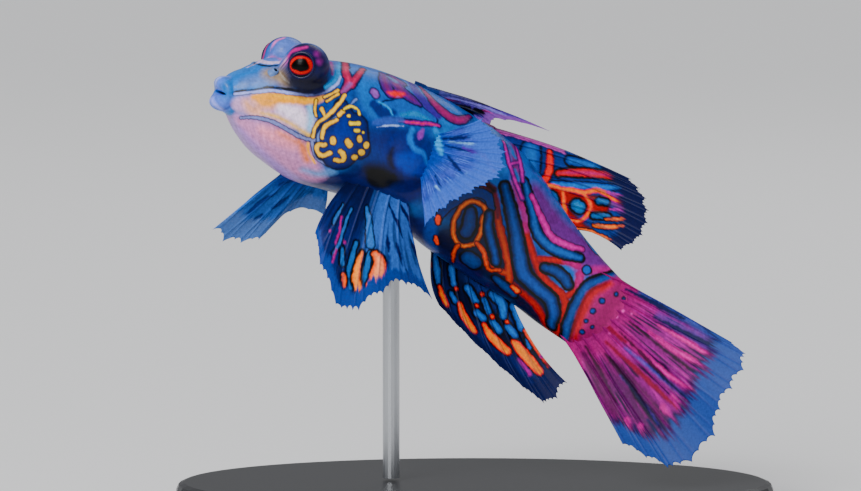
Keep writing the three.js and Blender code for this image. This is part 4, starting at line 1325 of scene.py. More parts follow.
DORSAL_FIRST_LOOK = FinLook(
    root="#1c4c98", middle="#6450a8", edge="#9468b4", streak="#0c1450", streak_strength=0.6, edge_cover=1.0,
    marks=(
        mark("#0b0f2c", band((0.6, 0.9, 0.6), (45.6, 10.4), (47.0, 10.9), (48.4, 11.2)), soft=0.3),
        mark("#c0508c", band((0.3, 0.3), (44.6, 9.8), (46.0, 10.0)), band(0.3, (48.4, 10.9), (49.2, 11.3)),
            soft=0.2),
        mark("#8c84cc", band((0.3, 0.5, 0.3, 0.16), (44.0, 9.3), (47.0, 10.2), (50.0, 11.4), (53.0, 12.8)),
            soft=0.12),
        mark("#b03a90", band(0.2, (52.6, 12.6), (54.8, 13.2)), soft=0.12),
    ),
)
DORSAL_SECOND_LOOK = FinLook(
    root="#0c3c90", middle="#0c4898", edge="#041c60", edge_share=0.22, streak="#04103c", edge_cover=1.0,
    marks=(
        # Rust and violet ground
        mark("#5c1428", band((1.0, 1.6, 2.2, 2.2), (54.0, 18.4), (56.4, 19.6), (58.4, 20.4), (60.0, 20.6)),
            band((0.8, 1.4, 1.2), (56.0, 20.4), (57.2, 22.0), (58.6, 23.2)), core=("#a8301c", 0.5), soft=0.4),
        mark("#a03a9a", band((0.6, 1.0, 0.8), (60.6, 19.6), (61.8, 20.2), (62.6, 21.2)), soft=0.5,
            strength=0.8),
        # Blue front and pink line along the root
        mark("#0d52a4", band(1.8, (53.1, 14.9), (53.1, 16.0), (53.0, 17.4)), rim=(BLUE_RIM, 0.28),
            core=("#2474bc", 0.6)),
        mark("#d77ec2", band((0.3, 0.5, 0.5, 0.3), (48.4, 11.8), (51.0, 12.9), (53.8, 14.1), (56.4, 15.2)),
            rim=("#27307e", 0.14)),
        # Bands towards the rear
        mark("#0d52a4", band((0.8, 1.0, 0.8), (57.0, 16.0), (59.4, 16.6), (61.4, 17.2)), rim=(BLUE_RIM, 0.24),
            core=("#2474bc", 0.3)),
        mark("#c83c4c", band((0.5, 0.75, 0.7, 0.4), (55.9, 17.3), (57.8, 17.25), (60.1, 17.4), (62.6, 18.0)),
            rim=(BLUE_RIM, 0.26), core=("#b83888", 0.5)),
        mark("#0d52a8", band((0.5, 0.7, 0.6, 0.5), (55.3, 18.4), (57.8, 18.55), (60.8, 18.7), (62.1, 18.8)),
            rim=(BLUE_RIM, 0.14), core=("#2a7cc8", 0.2)),
        # Orange net, the blue islands in it and the branches behind
        mark("#e2401e", band((0.5, 0.65, 0.7, 0.5), (54.95, 15.2), (55.0, 16.7), (54.6, 17.9), (53.95, 18.7)),
            rim=("#0d0a1c", 0.16), core=("#f25a26", 0.24)),
        mark("#e85a1c", band((0.5, 0.5, 0.5, 0.5), (53.95, 18.7), (55.0, 18.6), (56.1, 18.9), (57.2, 19.0),
            (58.4, 19.3)),
            band((0.5, 0.5, 0.4, 0.3), (58.4, 19.3), (59.9, 19.0), (61.15, 19.8), (62.4, 20.4)),
            band((0.4, 0.4), (56.25, 19.0), (56.4, 20.2), (56.6, 21.6)),
            band((0.4, 0.4, 0.4, 0.4), (58.5, 19.5), (59.1, 20.5), (58.7, 21.6), (57.8, 22.1), (56.7, 21.9)),
            core=("#fb8e2c", 0.14), soft=0.14),
        mark("#0e6aa8", band(1.05, (55.2, 19.7), (55.35, 19.9)), band(1.2, (57.7, 20.5), (57.9, 20.7)),
            band(0.56, (59.9, 20.1), (60.6, 20.2)), band((0.5, 0.7), (55.2, 21.4), (55.9, 21.8)),
            band((0.5, 0.5), (59.4, 21.6), (60.8, 21.6)), rim=(BLUE_RIM, 0.24), core=("#1e8cc0", 0.34)),
        mark("#e87a28", band((0.3, 0.44, 0.3), (59.4, 22.5), (60.8, 22.7), (62.4, 22.6)),
            band((0.3, 0.44, 0.2), (59.2, 23.2), (60.6, 23.9), (61.6, 24.4)),
            band((0.2, 0.34, 0.2), (60.6, 21.9), (62.0, 21.9), (63.0, 21.6)),
            band((0.3, 0.4, 0.2), (57.6, 23.4), (58.8, 24.1), (60.0, 24.9)), rim=("#0d0a1c", 0.14),
            core=("#f8a040", 0.16)),
        mark("#c858b0", band((0.16, 0.24, 0.16), (60.8, 19.2), (62.2, 19.6)),
            band((0.16, 0.24), (61.0, 20.9), (62.6, 21.0)), soft=0.16),
        mark("#0b0e20", band((0.7, 0.9), (62.1, 19.9), (62.9, 20.5)), soft=0.5, strength=0.8),
    ),
)
ANAL_LOOK = FinLook(
    root="#0c3c8c", middle="#0a2c78", edge="#042264", edge_share=0.2, streak="#040c34", edge_cover=1.0,
    marks=(
        # Dark ground and the orange spot in front
        mark("#060c30", band((1.4, 2.2, 2.6, 2.0), (44.2, 25.6), (46.4, 29.4), (49.6, 32.6), (53.4, 35.6)),
            soft=1.0, strength=0.8),
        mark("#d8785c", band((0.3, 0.5, 0.3), (42.7, 24.4), (42.3, 25.6), (42.2, 26.6)), soft=0.2),
        # Blue patches
        mark("#2a62b0", band((0.4, 0.6, 0.6, 0.4), (43.4, 25.3), (43.7, 27.2), (43.8, 28.3)),
            band((0.6, 0.8, 0.5), (44.5, 24.0), (44.6, 25.5)), band(0.6, (45.1, 26.8), (45.4, 28.4)),
            band(0.5, (45.1, 29.4), (45.5, 30.1)), band(0.7, (46.8, 28.9), (47.5, 30.1)),
            band(0.7, (47.65, 31.3), (48.3, 31.8)), band(0.5, (48.4, 30.1), (48.9, 31.3)),
            band((0.7, 0.9, 0.7), (49.2, 29.5), (50.2, 30.4), (50.3, 31.7)),
            band(0.7, (49.3, 32.3), (49.9, 33.0)), band(0.7, (50.8, 32.7), (51.5, 33.5)),
            band((0.8, 1.0), (51.7, 30.6), (52.2, 32.7)), band((0.5, 0.7), (47.4, 27.6), (48.6, 28.2)),
            band((0.5, 0.5), (52.8, 34.0), (53.0, 34.8)), rim=("#040a26", 0.26), core=("#3f80cc", 0.3)),
        # Orange bars between them
        mark("#e0581c", band((0.4, 0.6, 0.55), (43.95, 28.7), (44.2, 29.6), (44.6, 30.5)),
            band((0.5, 0.85, 0.8), (46.0, 30.5), (46.4, 31.7), (47.3, 33.1)),
            band((0.5, 0.95, 0.9), (48.4, 32.6), (49.2, 33.8), (50.7, 35.1)),
            band((0.5, 1.0, 1.05, 0.8), (51.3, 34.2), (52.2, 35.2), (54.0, 37.2)),
            band((0.4, 0.5, 0.5), (52.76, 33.5), (53.65, 34.7), (54.6, 35.4), (54.9, 36.6)),
            band((0.4, 0.5, 0.4), (53.1, 32.8), (54.7, 34.1), (55.8, 35.8)), band(0.36, (45.6, 28.9)),
            band(0.36, (47.65, 30.6)), band(0.36, (49.2, 31.7)), band(0.36, (50.7, 32.2)),
            band(0.36, (48.2, 29.4)), rim=("#0d0714", 0.18), core=("#fb9a2e", 0.24)),
        mark("#b0209a", band(0.5, (54.3, 35.6)), band((0.3, 0.4), (51.9, 36.0), (53.0, 37.4)), soft=0.2),
        mark("#080a18", band((0.6, 0.9), (55.4, 36.0), (55.5, 37.0)), soft=0.3, strength=0.8),
    ),
)
PELVIC_NEAR_LOOK = FinLook(
    root="#08205c", middle="#0c2e78", edge="#1c4c9c", edge_share=0.14, streak="#05144a", streak_strength=0.6,
    inner="#5470b4", inner_from=0.5, depth=1.0,
    marks=(
        # Blue, pink and orange strokes on the front rays
        mark("#5678b8", band((0.16, 0.22, 0.16), (34.3, 20.5), (33.8, 21.3), (33.3, 22.4)),
            band((0.18, 0.26, 0.2, 0.16), (35.1, 20.9), (34.4, 22.7), (33.9, 24.3), (33.3, 25.4)),
            band((0.3, 0.5, 0.8), (36.6, 20.8), (36.9, 22.3), (37.0, 24.5)), rim=("#040a30", 0.16)),
        mark("#b4488c", band((0.16, 0.22, 0.16), (34.1, 21.7), (33.9, 23.3), (33.5, 24.3)),
            band(0.24, (33.0, 23.1)), band(0.24, (34.4, 24.2)), band((0.14, 0.2), (33.6, 25.0), (33.2, 26.2)),
            soft=0.1),
        mark("#4870b0", band((0.3, 0.5, 0.5, 0.4), (35.6, 24.3), (35.1, 26.2), (34.9, 27.7), (35.0, 28.8)),
            band((0.3, 0.6, 0.5), (37.0, 25.2), (36.6, 27.2), (36.4, 28.4)),
            band((0.2, 0.4), (34.2, 24.9), (34.2, 26.4)), rim=("#040a30", 0.24)),
        mark("#e8860e", band((0.3, 0.6, 0.8, 0.66), (36.2, 25.2), (35.75, 26.7), (35.6, 28.0), (35.8, 28.8)),
            rim=("#060410", 0.28), core=("#fba02c", 0.2)),
        mark("#e0745c", band((0.6, 1.2, 1.3, 0.6), (37.5, 25.4), (38.0, 26.4), (37.7, 27.5), (36.95, 28.5)),
            band((0.3, 0.4, 0.3), (34.4, 27.5), (34.4, 28.6)), rim=("#060a28", 0.26), core=("#f4a088", 0.4)),
        mark("#0e2a74", band((0.3, 0.5, 0.3), (38.9, 25.6), (38.8, 27.2), (38.2, 28.8)), soft=0.3,
            strength=0.8),
        # Dark rays at the rear and the shade at the root
        mark("#0a1c64", band((0.2, 0.4, 0.14), (38.8, 20.4), (39.8, 22.6), (40.2, 23.8)),
            band((0.2, 0.4, 0.14), (40.0, 20.6), (41.2, 22.6)),
            band((0.2, 0.4, 0.14), (39.6, 24.4), (40.2, 26.6)),
            band((0.2, 0.4, 0.14), (41.0, 24.0), (41.9, 26.4)),
            band((0.2, 0.4, 0.14), (38.7, 23.6), (38.9, 25.2)),
            band((0.18, 0.34, 0.12), (39.9, 18.9), (41.4, 20.8)),
            band((0.18, 0.34, 0.12), (40.6, 19.0), (42.2, 21.4)),
            band((0.18, 0.34, 0.12), (41.2, 21.4), (42.2, 23.6)),
            band((0.18, 0.34, 0.12), (40.6, 27.0), (41.2, 28.4)),
            band((0.18, 0.34, 0.12), (39.2, 27.4), (39.6, 28.6)), soft=0.14),
        mark("#04060c", band((0.8, 1.8, 1.0), (36.6, 17.4), (38.0, 18.2), (39.4, 19.1)), soft=0.7,
            strength=0.9),
    ),
)
PELVIC_FAR_LOOK = FinLook(
    root="#2f50b0", middle="#5c80cc", edge="#7c98d4", edge_share=0.24, streak="#14347c", streak_strength=0.5,
    ray="#2c58a4", film_cover=0.96, edge_cover=0.9,
    marks=(
        mark("#14327f", band((0.3, 0.5, 0.3), (24.6, 21.4), (26.0, 20.2), (27.6, 19.2)),
            band((0.2, 0.4, 0.3), (24.6, 22.6), (26.2, 21.4)),
            band((0.3, 0.5, 0.2), (27.2, 20.8), (28.8, 19.6)),
            band((0.2, 0.4, 0.2), (27.4, 22.0), (28.8, 21.0)),
            band((0.2, 0.5, 0.3), (29.4, 20.6), (30.6, 19.8)), band((0.2, 0.3), (23.2, 22.4), (24.0, 21.8)),
            band((0.3, 0.6, 0.3), (28.0, 18.4), (29.6, 17.7)), core=("#0f4a9c", 0.16), soft=0.2),
        mark("#b98ad6", band(0.2, (22.0, 22.6), (22.8, 23.4), (24.2, 23.8)),
            band(0.2, (25.8, 23.2), (26.9, 22.4)), soft=0.2),
    ),
)
PECTORAL_LOOK = FinLook(
    root="#2a50a8", middle="#5664b4", edge="#5c74c4", depth=1.0, edge_share=0.34, streak="#2c3c94",
    streak_strength=0.6, second_streak="#6c84cc", streak_width=0.3, ray="#24489c", ray_strength=0.45,
    film_cover=0.95, edge_cover=0.82,
    marks=(
        # Painted highlight: light blue at the fin's root, over the fin base lobe
        mark("#6fa6d6", band((0.5, 0.9, 0.5), (43.4, 13.0), (43.9, 14.2), (44.2, 15.4)), soft=0.3),
        mark("#0c2a72", band((0.2, 0.4, 0.1), (44.4, 13.9), (46.2, 13.8), (47.8, 13.5)),
            band((0.2, 0.4, 0.1), (44.8, 15.6), (45.6, 16.6), (46.6, 17.8)),
            band((0.16, 0.3, 0.1), (44.6, 14.6), (46.0, 14.9), (47.4, 15.3)),
            band((0.16, 0.3, 0.1), (43.6, 17.6), (44.2, 19.0), (44.8, 20.2)), soft=0.2),
        mark("#5b2a9c", band((0.2, 0.34, 0.2), (46.4, 14.8), (47.4, 15.15), (48.6, 15.3)),
            band((0.16, 0.24), (48.2, 12.8), (49.4, 12.6)), soft=0.2),
        mark("#9cc0e4", band((0.14, 0.2, 0.14), (43.6, 18.6), (44.8, 20.0)),
            band((0.12, 0.2, 0.12), (45.0, 14.2), (47.6, 14.4), (49.6, 14.4)),
            band(0.14, (46.6, 17.4), (48.4, 19.0)), soft=0.12, strength=0.7),
    ),
)
CAUDAL_LOOK = FinLook(
    root="#b00c7c", middle="#981288", edge="#4a5fa4", edge_share=0.17, streak="#180c50", streak_strength=0.9,
    second_streak="#b8309c", streak_width=0.3, ray="#5c1070", ray_strength=0.25, edge_cover=0.98, depth=0.85,
    border="#141c60",
    marks=(
        # Ground
        mark("#5c48a0", band((0.6, 1.4, 1.6), (66.0, 31.6), (69.6, 33.8), (73.0, 35.4)), soft=0.8,
            strength=0.8),
        mark("#3c0c58", band((1.2, 2.4, 3.4), (60.6, 36.6), (62.6, 39.6), (65.0, 42.0)), soft=1.4,
            strength=0.65),
        mark("#a00c78", band((2.0, 2.6, 2.0), (58.6, 34.4), (60.4, 32.4), (62.6, 30.4)), soft=1.6,
            strength=0.8),
        # Blue upper edge with its dark lines
        mark("#4a5ca4", band((0.4, 1.1, 1.6, 1.8), (64.0, 29.2), (68.0, 31.4), (72.0, 33.2), (74.8, 34.8)),
            soft=0.4, strength=0.95),
        mark("#141c64", band((0.2, 0.5, 0.3), (62.6, 28.9), (65.4, 30.3), (68.4, 31.9)),
            band((0.2, 0.5, 0.5, 0.2), (65.4, 31.7), (68.0, 33.0), (70.4, 34.2), (72.6, 34.9)), soft=0.2),
        # Streaks along the rays
        mark("#c02c88", band((0.2, 0.5, 0.6, 0.4, 0.2), (61.0, 32.6), (63.8, 35.0), (66.2, 37.0),
            (67.9, 38.2), (70.2, 39.4)),
            band((0.3, 0.6, 0.6, 0.3), (64.9, 33.2), (67.4, 35.0), (69.6, 36.2), (71.2, 37.1)),
            band((0.2, 0.5, 0.4, 0.2), (65.8, 32.5), (68.8, 34.2), (71.0, 35.5), (73.0, 35.9)),
            core=("#d860a8", 0.26), soft=0.24),
        mark("#5a58b0", band((0.2, 0.4, 0.4, 0.3), (62.5, 34.8), (65.2, 36.9), (67.3, 38.6), (69.6, 40.4)),
            band((0.2, 0.3, 0.2), (62.2, 37.6), (64.2, 40.2), (65.8, 42.4)), soft=0.3, strength=0.9),
        mark("#98144c", band((0.3, 0.5, 0.5, 0.3), (60.6, 34.2), (63.5, 36.8), (65.7, 38.9), (67.7, 40.8)),
            band((0.3, 0.5, 0.4), (59.4, 31.0), (61.2, 33.0), (62.6, 34.2)), soft=0.24),
        mark("#0a0a30", band((0.3, 0.7, 0.7, 0.2), (60.6, 35.4), (62.7, 37.9), (64.0, 40.0), (65.6, 42.4)),
            band((0.2, 0.5, 0.2), (58.6, 34.6), (60.0, 37.2), (61.6, 40.2)),
            band((0.2, 0.5, 0.2), (62.0, 33.2), (64.4, 35.6), (66.6, 37.9), (68.6, 39.8)),
            band((0.2, 0.4, 0.2), (63.0, 32.2), (66.0, 34.6), (69.0, 36.9), (70.9, 38.2)), soft=0.24,
            strength=0.9),
        mark("#740c64", band((0.6, 1.2, 1.2, 0.7), (58.4, 35.4), (59.7, 37.8), (60.9, 40.2), (62.0, 42.4)),
            band((0.3, 0.5, 0.4), (62.0, 36.4), (64.4, 39.2), (66.2, 41.6)), soft=0.4, strength=0.8),
        # Dots near the edge and at the root, and dark ray ends
        mark("#c04c94", band(0.5, (62.7, 42.0), (63.0, 43.0)), band(0.5, (64.0, 42.6), (64.3, 43.6)),
            band(0.5, (66.2, 40.6), (66.8, 41.6)), band(0.5, (67.2, 39.6), (67.9, 40.5)), soft=0.3),
        mark("#e070b4", band(0.3, (61.7, 31.7)), band(0.26, (62.3, 31.1)), band(0.24, (63.2, 31.4)),
            band(0.22, (61.0, 33.4)), soft=0.14),
        mark("#12186c", band((0.2, 0.4, 0.1), (62.0, 42.6), (62.8, 44.4)),
            band((0.2, 0.4, 0.1), (64.8, 42.0), (66.0, 43.8)),
            band((0.2, 0.4, 0.1), (67.4, 41.4), (68.8, 42.8)),
            band((0.2, 0.4, 0.1), (69.0, 39.8), (70.6, 40.8)),
            band((0.2, 0.4, 0.1), (63.4, 42.4), (64.4, 44.6)), soft=0.2, strength=0.8),
    ),
)
LOOKS = {
    "dorsal_fin_first": DORSAL_FIRST_LOOK,
    "dorsal_fin_second": DORSAL_SECOND_LOOK,
    "anal_fin": ANAL_LOOK,
    "pelvic_fin_left": PELVIC_NEAR_LOOK,
    "pelvic_fin_right": PELVIC_FAR_LOOK,
    "pectoral_fin_left": PECTORAL_LOOK,
    "pectoral_fin_right": PECTORAL_LOOK,
    "caudal_fin": CAUDAL_LOOK,
}


@dataclass(frozen=True)
class FinBuild:
    """Sizes and unevenness that all fins share: film and rays, how the edge is cut, and how paint runs.

    Spans give where something starts and where it is full, along a ray from 0 at its root to 1 at its edge.
    """

    per_gap: int = 24
    film_thick: float = 0.16
    ray_thick: float = 0.44
    ray_half: float = 0.13
    fork: float = 0.17
    fork_span: Point = (0.45, 1.0)
    thinning: float = 0.75
    thinning_span: Point = (0.55, 1.0)
    flesh_span: Point = (0.0, 0.3)
    scallop: float = 0.55
    scallop_power: float = 1.6
    fringe: float = 0.45
    fringe_power: float = 0.7
    fringe_ripple: tuple[float, int] = (1.3, 11)
    streak_spacing: Point = (1.6, 0.9)
    streak_seeds: tuple[int, int] = (21, 34)
    edge_ripple: tuple[float, int] = (0.12, 5)
    middle_span: Point = (0.2, 0.5)
    open_span: Point = (0.16, 0.4)


FIN = FinBuild()


@dataclass
class Fin:
    """A fin: a thin sheet with raised rays, painted on both faces alike."""

    shape: FinShape

    def __post_init__(self) -> None:
        """Lays out the sheet's grid: f runs over the rays and v along each."""
        self.gaps = self.shape.rays - 1
        self.f = np.linspace(0, 1, self.gaps * FIN.per_gap + 1)
        self.v = np.linspace(0, 1, self.shape.along)

    def root(self) -> Array:
        """Where rays leave the body.

        Returns:
            A point for each place over the rays.
        """
        s = self.shape
        station = s.base[0] + (s.base[1] - s.base[0]) * self.f
        if s.spread:
            rise = s.spread[0] + (s.spread[1] - s.spread[0]) * self.f
            at, _, up, _ = Spine.frame(station)
            return at + up * rise[:, None]
        angle = np.radians(s.angle[0] + (s.angle[1] - s.angle[0]) * self.f)
        return BODY.skin(station, angle if s.side is Side.LEFT else math.pi - angle)

    def tip(self) -> Array:
        """Where rays end.

        Returns:
            A point for each place over the rays.
        """
        tips = through(np.array(self.shape.tips), self.f * (len(self.shape.tips) - 1))
        if self.shape.side is Side.LEFT:
            return tips
        at, _, _, left = Spine.frame(np.array(self.shape.base[0]))
        return tips - 2 * ((tips - at) @ left)[..., None] * left

    def bow(self) -> Array:
        """How far and which way the middle of each ray is bent."""
        bow = np.array(self.shape.bow)
        if self.shape.side is Side.RIGHT:
            left = Spine.frame(np.array(self.shape.base[0]))[3]
            bow = bow - 2 * (bow @ left) * left
        return bow

    def middle(self) -> tuple[Array, Array]:
        """Works out the fin's middle surface.

        Returns:
            Its points by ray fraction and way along, and how far each is from its ray's root in mm.
        """
        s = self.shape
        gap = np.abs((self.f * self.gaps + 0.5) % 1 - 0.5) * 2
        teeth = np.abs(np.sin(math.pi * s.teeth * self.f * self.gaps))
        uneven = 0.75 + 0.5 * ripples(self.f[:, None] * self.gaps, *FIN.fringe_ripple)
        scallop = FIN.scallop * (1 - (1 - gap) ** FIN.scallop_power)
        short = s.notch * (scallop + FIN.fringe * teeth**FIN.fringe_power * uneven)
        root = self.root()
        ray = self.tip() - root
        reach = np.linalg.norm(ray, axis=1)
        share = (-s.sink + (reach * (1 - short) + s.sink)[:, None] * self.v) / reach[:, None]
        lift = 4 * np.maximum(share, 0) * (1 - share)
        points = root[:, None] + ray[:, None] * share[..., None] + self.bow() * lift[..., None]
        return points, share * reach[:, None]

    def crest(self, points: Array) -> Array:
        """Works out the relief of the rays, which fork towards the edge.

        Args:
            points: The fin's middle surface.

        Returns:
            How much of a ray's height each point has, from 0 on the film to 1 on a ray.
        """
        spacing = np.linalg.norm(np.gradient(points, self.f * self.gaps, axis=0), axis=-1)
        place = (self.f * self.gaps)[:, None]
        fork = FIN.fork * smooth_step(*FIN.fork_span, self.v)[None, :]
        height = np.zeros_like(spacing)
        for turn in (-1, 1):
            away = np.abs((place + turn * fork + 0.5) % 1 - 0.5) * spacing
            height = np.maximum(height, np.exp(-((away / FIN.ray_half) ** 2)))
        return height

    def build(self, finish: Material) -> Piece:
        """Builds the fin.

        Args:
            finish: Its material.

        Returns:
            The fin's object.
        """
        points, run = self.middle()
        crest = self.crest(points)
        thick = FIN.film_thick + (FIN.ray_thick - FIN.film_thick) * crest
        thick = thick * (1 - FIN.thinning * smooth_step(*FIN.thinning_span, self.v))[None, :]
        thick = thick + self.shape.flesh * (1 - smooth_step(*FIN.flesh_span, self.v))[None, :]
        half = grid_normals(points, False) * thick[..., None] / 2
        both = np.concatenate([points + half, points - half]).reshape(-1, 3)
        paint = np.tile(self.paint(run, crest), (2, 1))
        faces = sheet_faces(len(self.f), len(self.v))
        return mesh_of(self.shape.name + "_dressed", both, faces, paint, finish)

    def paint(self, run: Array, crest: Array) -> Array:
        """Paints the fin: root to middle, streaks, markings, then the ragged edge and the rays.

        Args:
            run: How far each point is from its ray's root, in mm.
            crest: How much of a ray it carries.

        Returns:
            Colour and cover of each point.
        """
        look = LOOKS[self.shape.name]
        points = Fin(replace(self.shape, side=Side.LEFT)).middle()[0]
        canvas = Canvas(points, np.ones(points.shape[:2], bool))
        along = np.broadcast_to(self.v, run.shape).reshape(-1)
        place = np.broadcast_to((self.f * self.gaps)[:, None], run.shape).reshape(-1)
        fan = np.stack([place, along], axis=-1) * FIN.streak_spacing
        streaks = ripples(fan, look.streak_width, FIN.streak_seeds[0])
        canvas.cover(look.root)
        canvas.mix(look.middle, smooth_step(*FIN.middle_span, along + 0.08 * streaks))
        if look.inner:
            share = place / self.gaps + 0.04 * streaks
            canvas.mix(look.inner, smooth_step(look.inner_from - 0.1, look.inner_from + 0.06, share))
        open_skin = smooth_step(*FIN.open_span, along)
        canvas.mix(look.streak, look.streak_strength * open_skin * smooth_step(0.1, 0.6, streaks))
        if look.second_streak:
            second = smooth_step(0.25, 0.7, ripples(fan, look.streak_width, FIN.streak_seeds[1]))
            canvas.mix(look.second_streak, 0.8 * open_skin * second)
        for marking in look.marks:
            canvas.draw(marking)
        canvas.mottle()
        ragged = along + 0.03 * ripples(fan, *FIN.edge_ripple) + 0.03 * streaks
        rim = smooth_step(1 - 1.15 * look.edge_share, 1 - 0.75 * look.edge_share, ragged)
        if look.border:
            border = smooth_step(1 - 1.5 * look.edge_share, 1 - 1.1 * look.edge_share, ragged)
            canvas.mix(look.border, 0.8 * border)
        canvas.mix(look.edge, rim)
        crest = crest.reshape(-1)
        canvas.mix(look.ray, look.ray_strength * crest**2 * (1 - 0.4 * rim))
        film = look.film_cover + (1 - look.film_cover) * crest
        cover = film + (look.edge_cover - film) * rim * (1 - 0.5 * crest)
        # Painted shade: each fin's paint is darkened as a whole by its look's depth
        return np.concatenate([canvas.colour * look.depth, cover[:, None]], axis=1)


PECTORAL = FinShape(
    "pectoral_fin_left", rays=12, base=(6.75, 6.85), angle=(36, -10),
    tips=((0.7, -8.5, 41.0), (2.6, -9.5, 38.9), (2.9, -10.0, 35.8), (0.2, -10.0, 34.0), (-2.7, -9.5, 32.4),
          (-5.0, -8.8, 30.3)),
    bow=(0, -0.6, 0), notch=0.12, sink=1.4, teeth=3,
)
FINS = (
    FinShape(
        "dorsal_fin_first", rays=4, base=(6.25, 7.2), angle=(90, 90),
        tips=((7.5, -0.4, 39.2), (3.0, -0.4, 40.3), (1.5, -0.1, 39.9), (0.0, 0.3, 40.0)),
        bow=(0, 0, 0.45), notch=0.08, sink=1.2, teeth=2,
    ),
    FinShape(
        "dorsal_fin_second", rays=8, base=(7.6, 10.3), angle=(90, 90),
        tips=((15.6, -2.0, 34.5), (16.9, -2.4, 32.9), (17.3, -2.6, 30.8), (16.5, -2.4, 28.7),
              (14.6, -1.9, 27.4)),
        bow=(0, 0.3, 0.4), notch=0.06, sink=1.6,
    ),
    FinShape(
        "anal_fin", rays=8, base=(8.25, 10.2), angle=(-90, -90),
        tips=((-3.5, -1.5, 21.8), (-0.5, -2.0, 18.6), (3.7, -2.5, 14.7), (7.3, -3.0, 12.1),
              (9.2, -2.6, 14.2)),
        bow=(-0.4, 0, -0.4), notch=0.07, sink=1.6,
    ),
    PECTORAL,
    replace(PECTORAL, name="pectoral_fin_right", side=Side.RIGHT),
    FinShape(
        "pelvic_fin_left", rays=7, base=(5.2, 7.0), angle=(-50, -46),
        tips=((-15.8, -7.8, 29.6), (-15.1, -9.0, 26.0), (-12.9, -9.5, 21.8), (-10.0, -9.0, 23.2),
              (-7.3, -7.6, 24.6), (-4.3, -5.4, 22.9)),
        bow=(-0.4, -0.7, 0), notch=0.09, sink=1.5,
    ),
    FinShape(
        "pelvic_fin_right", rays=6, base=(4.15, 5.2), angle=(-118, -128),
        tips=((-26.3, 2.0, 29.2), (-25.4, 3.0, 27.9), (-23.6, 3.6, 27.7), (-21.8, 3.9, 28.0),
              (-18.6, 4.3, 30.8), (-15.2, 4.6, 30.4)),
        bow=(0.3, 0.5, 0.3), notch=0.08, sink=1.5, teeth=2,
    ),
    FinShape(
        "caudal_fin", rays=10, base=(11.9, 11.9), angle=(0, 0), spread=(4.1, -3.9),
        tips=((25.5, -5.0, 18.5), (26.9, -6.0, 17.1), (25.9, -6.6, 14.9), (24.3, -7.0, 12.4),
              (23.5, -7.0, 9.1), (20.3, -6.9, 6.2), (17.6, -6.5, 6.9), (14.6, -6.0, 8.5)),
        bow=(0, 0.6, 0), notch=0.05, sink=1.6, along=150, teeth=3, flesh=1.7,
    ),
)


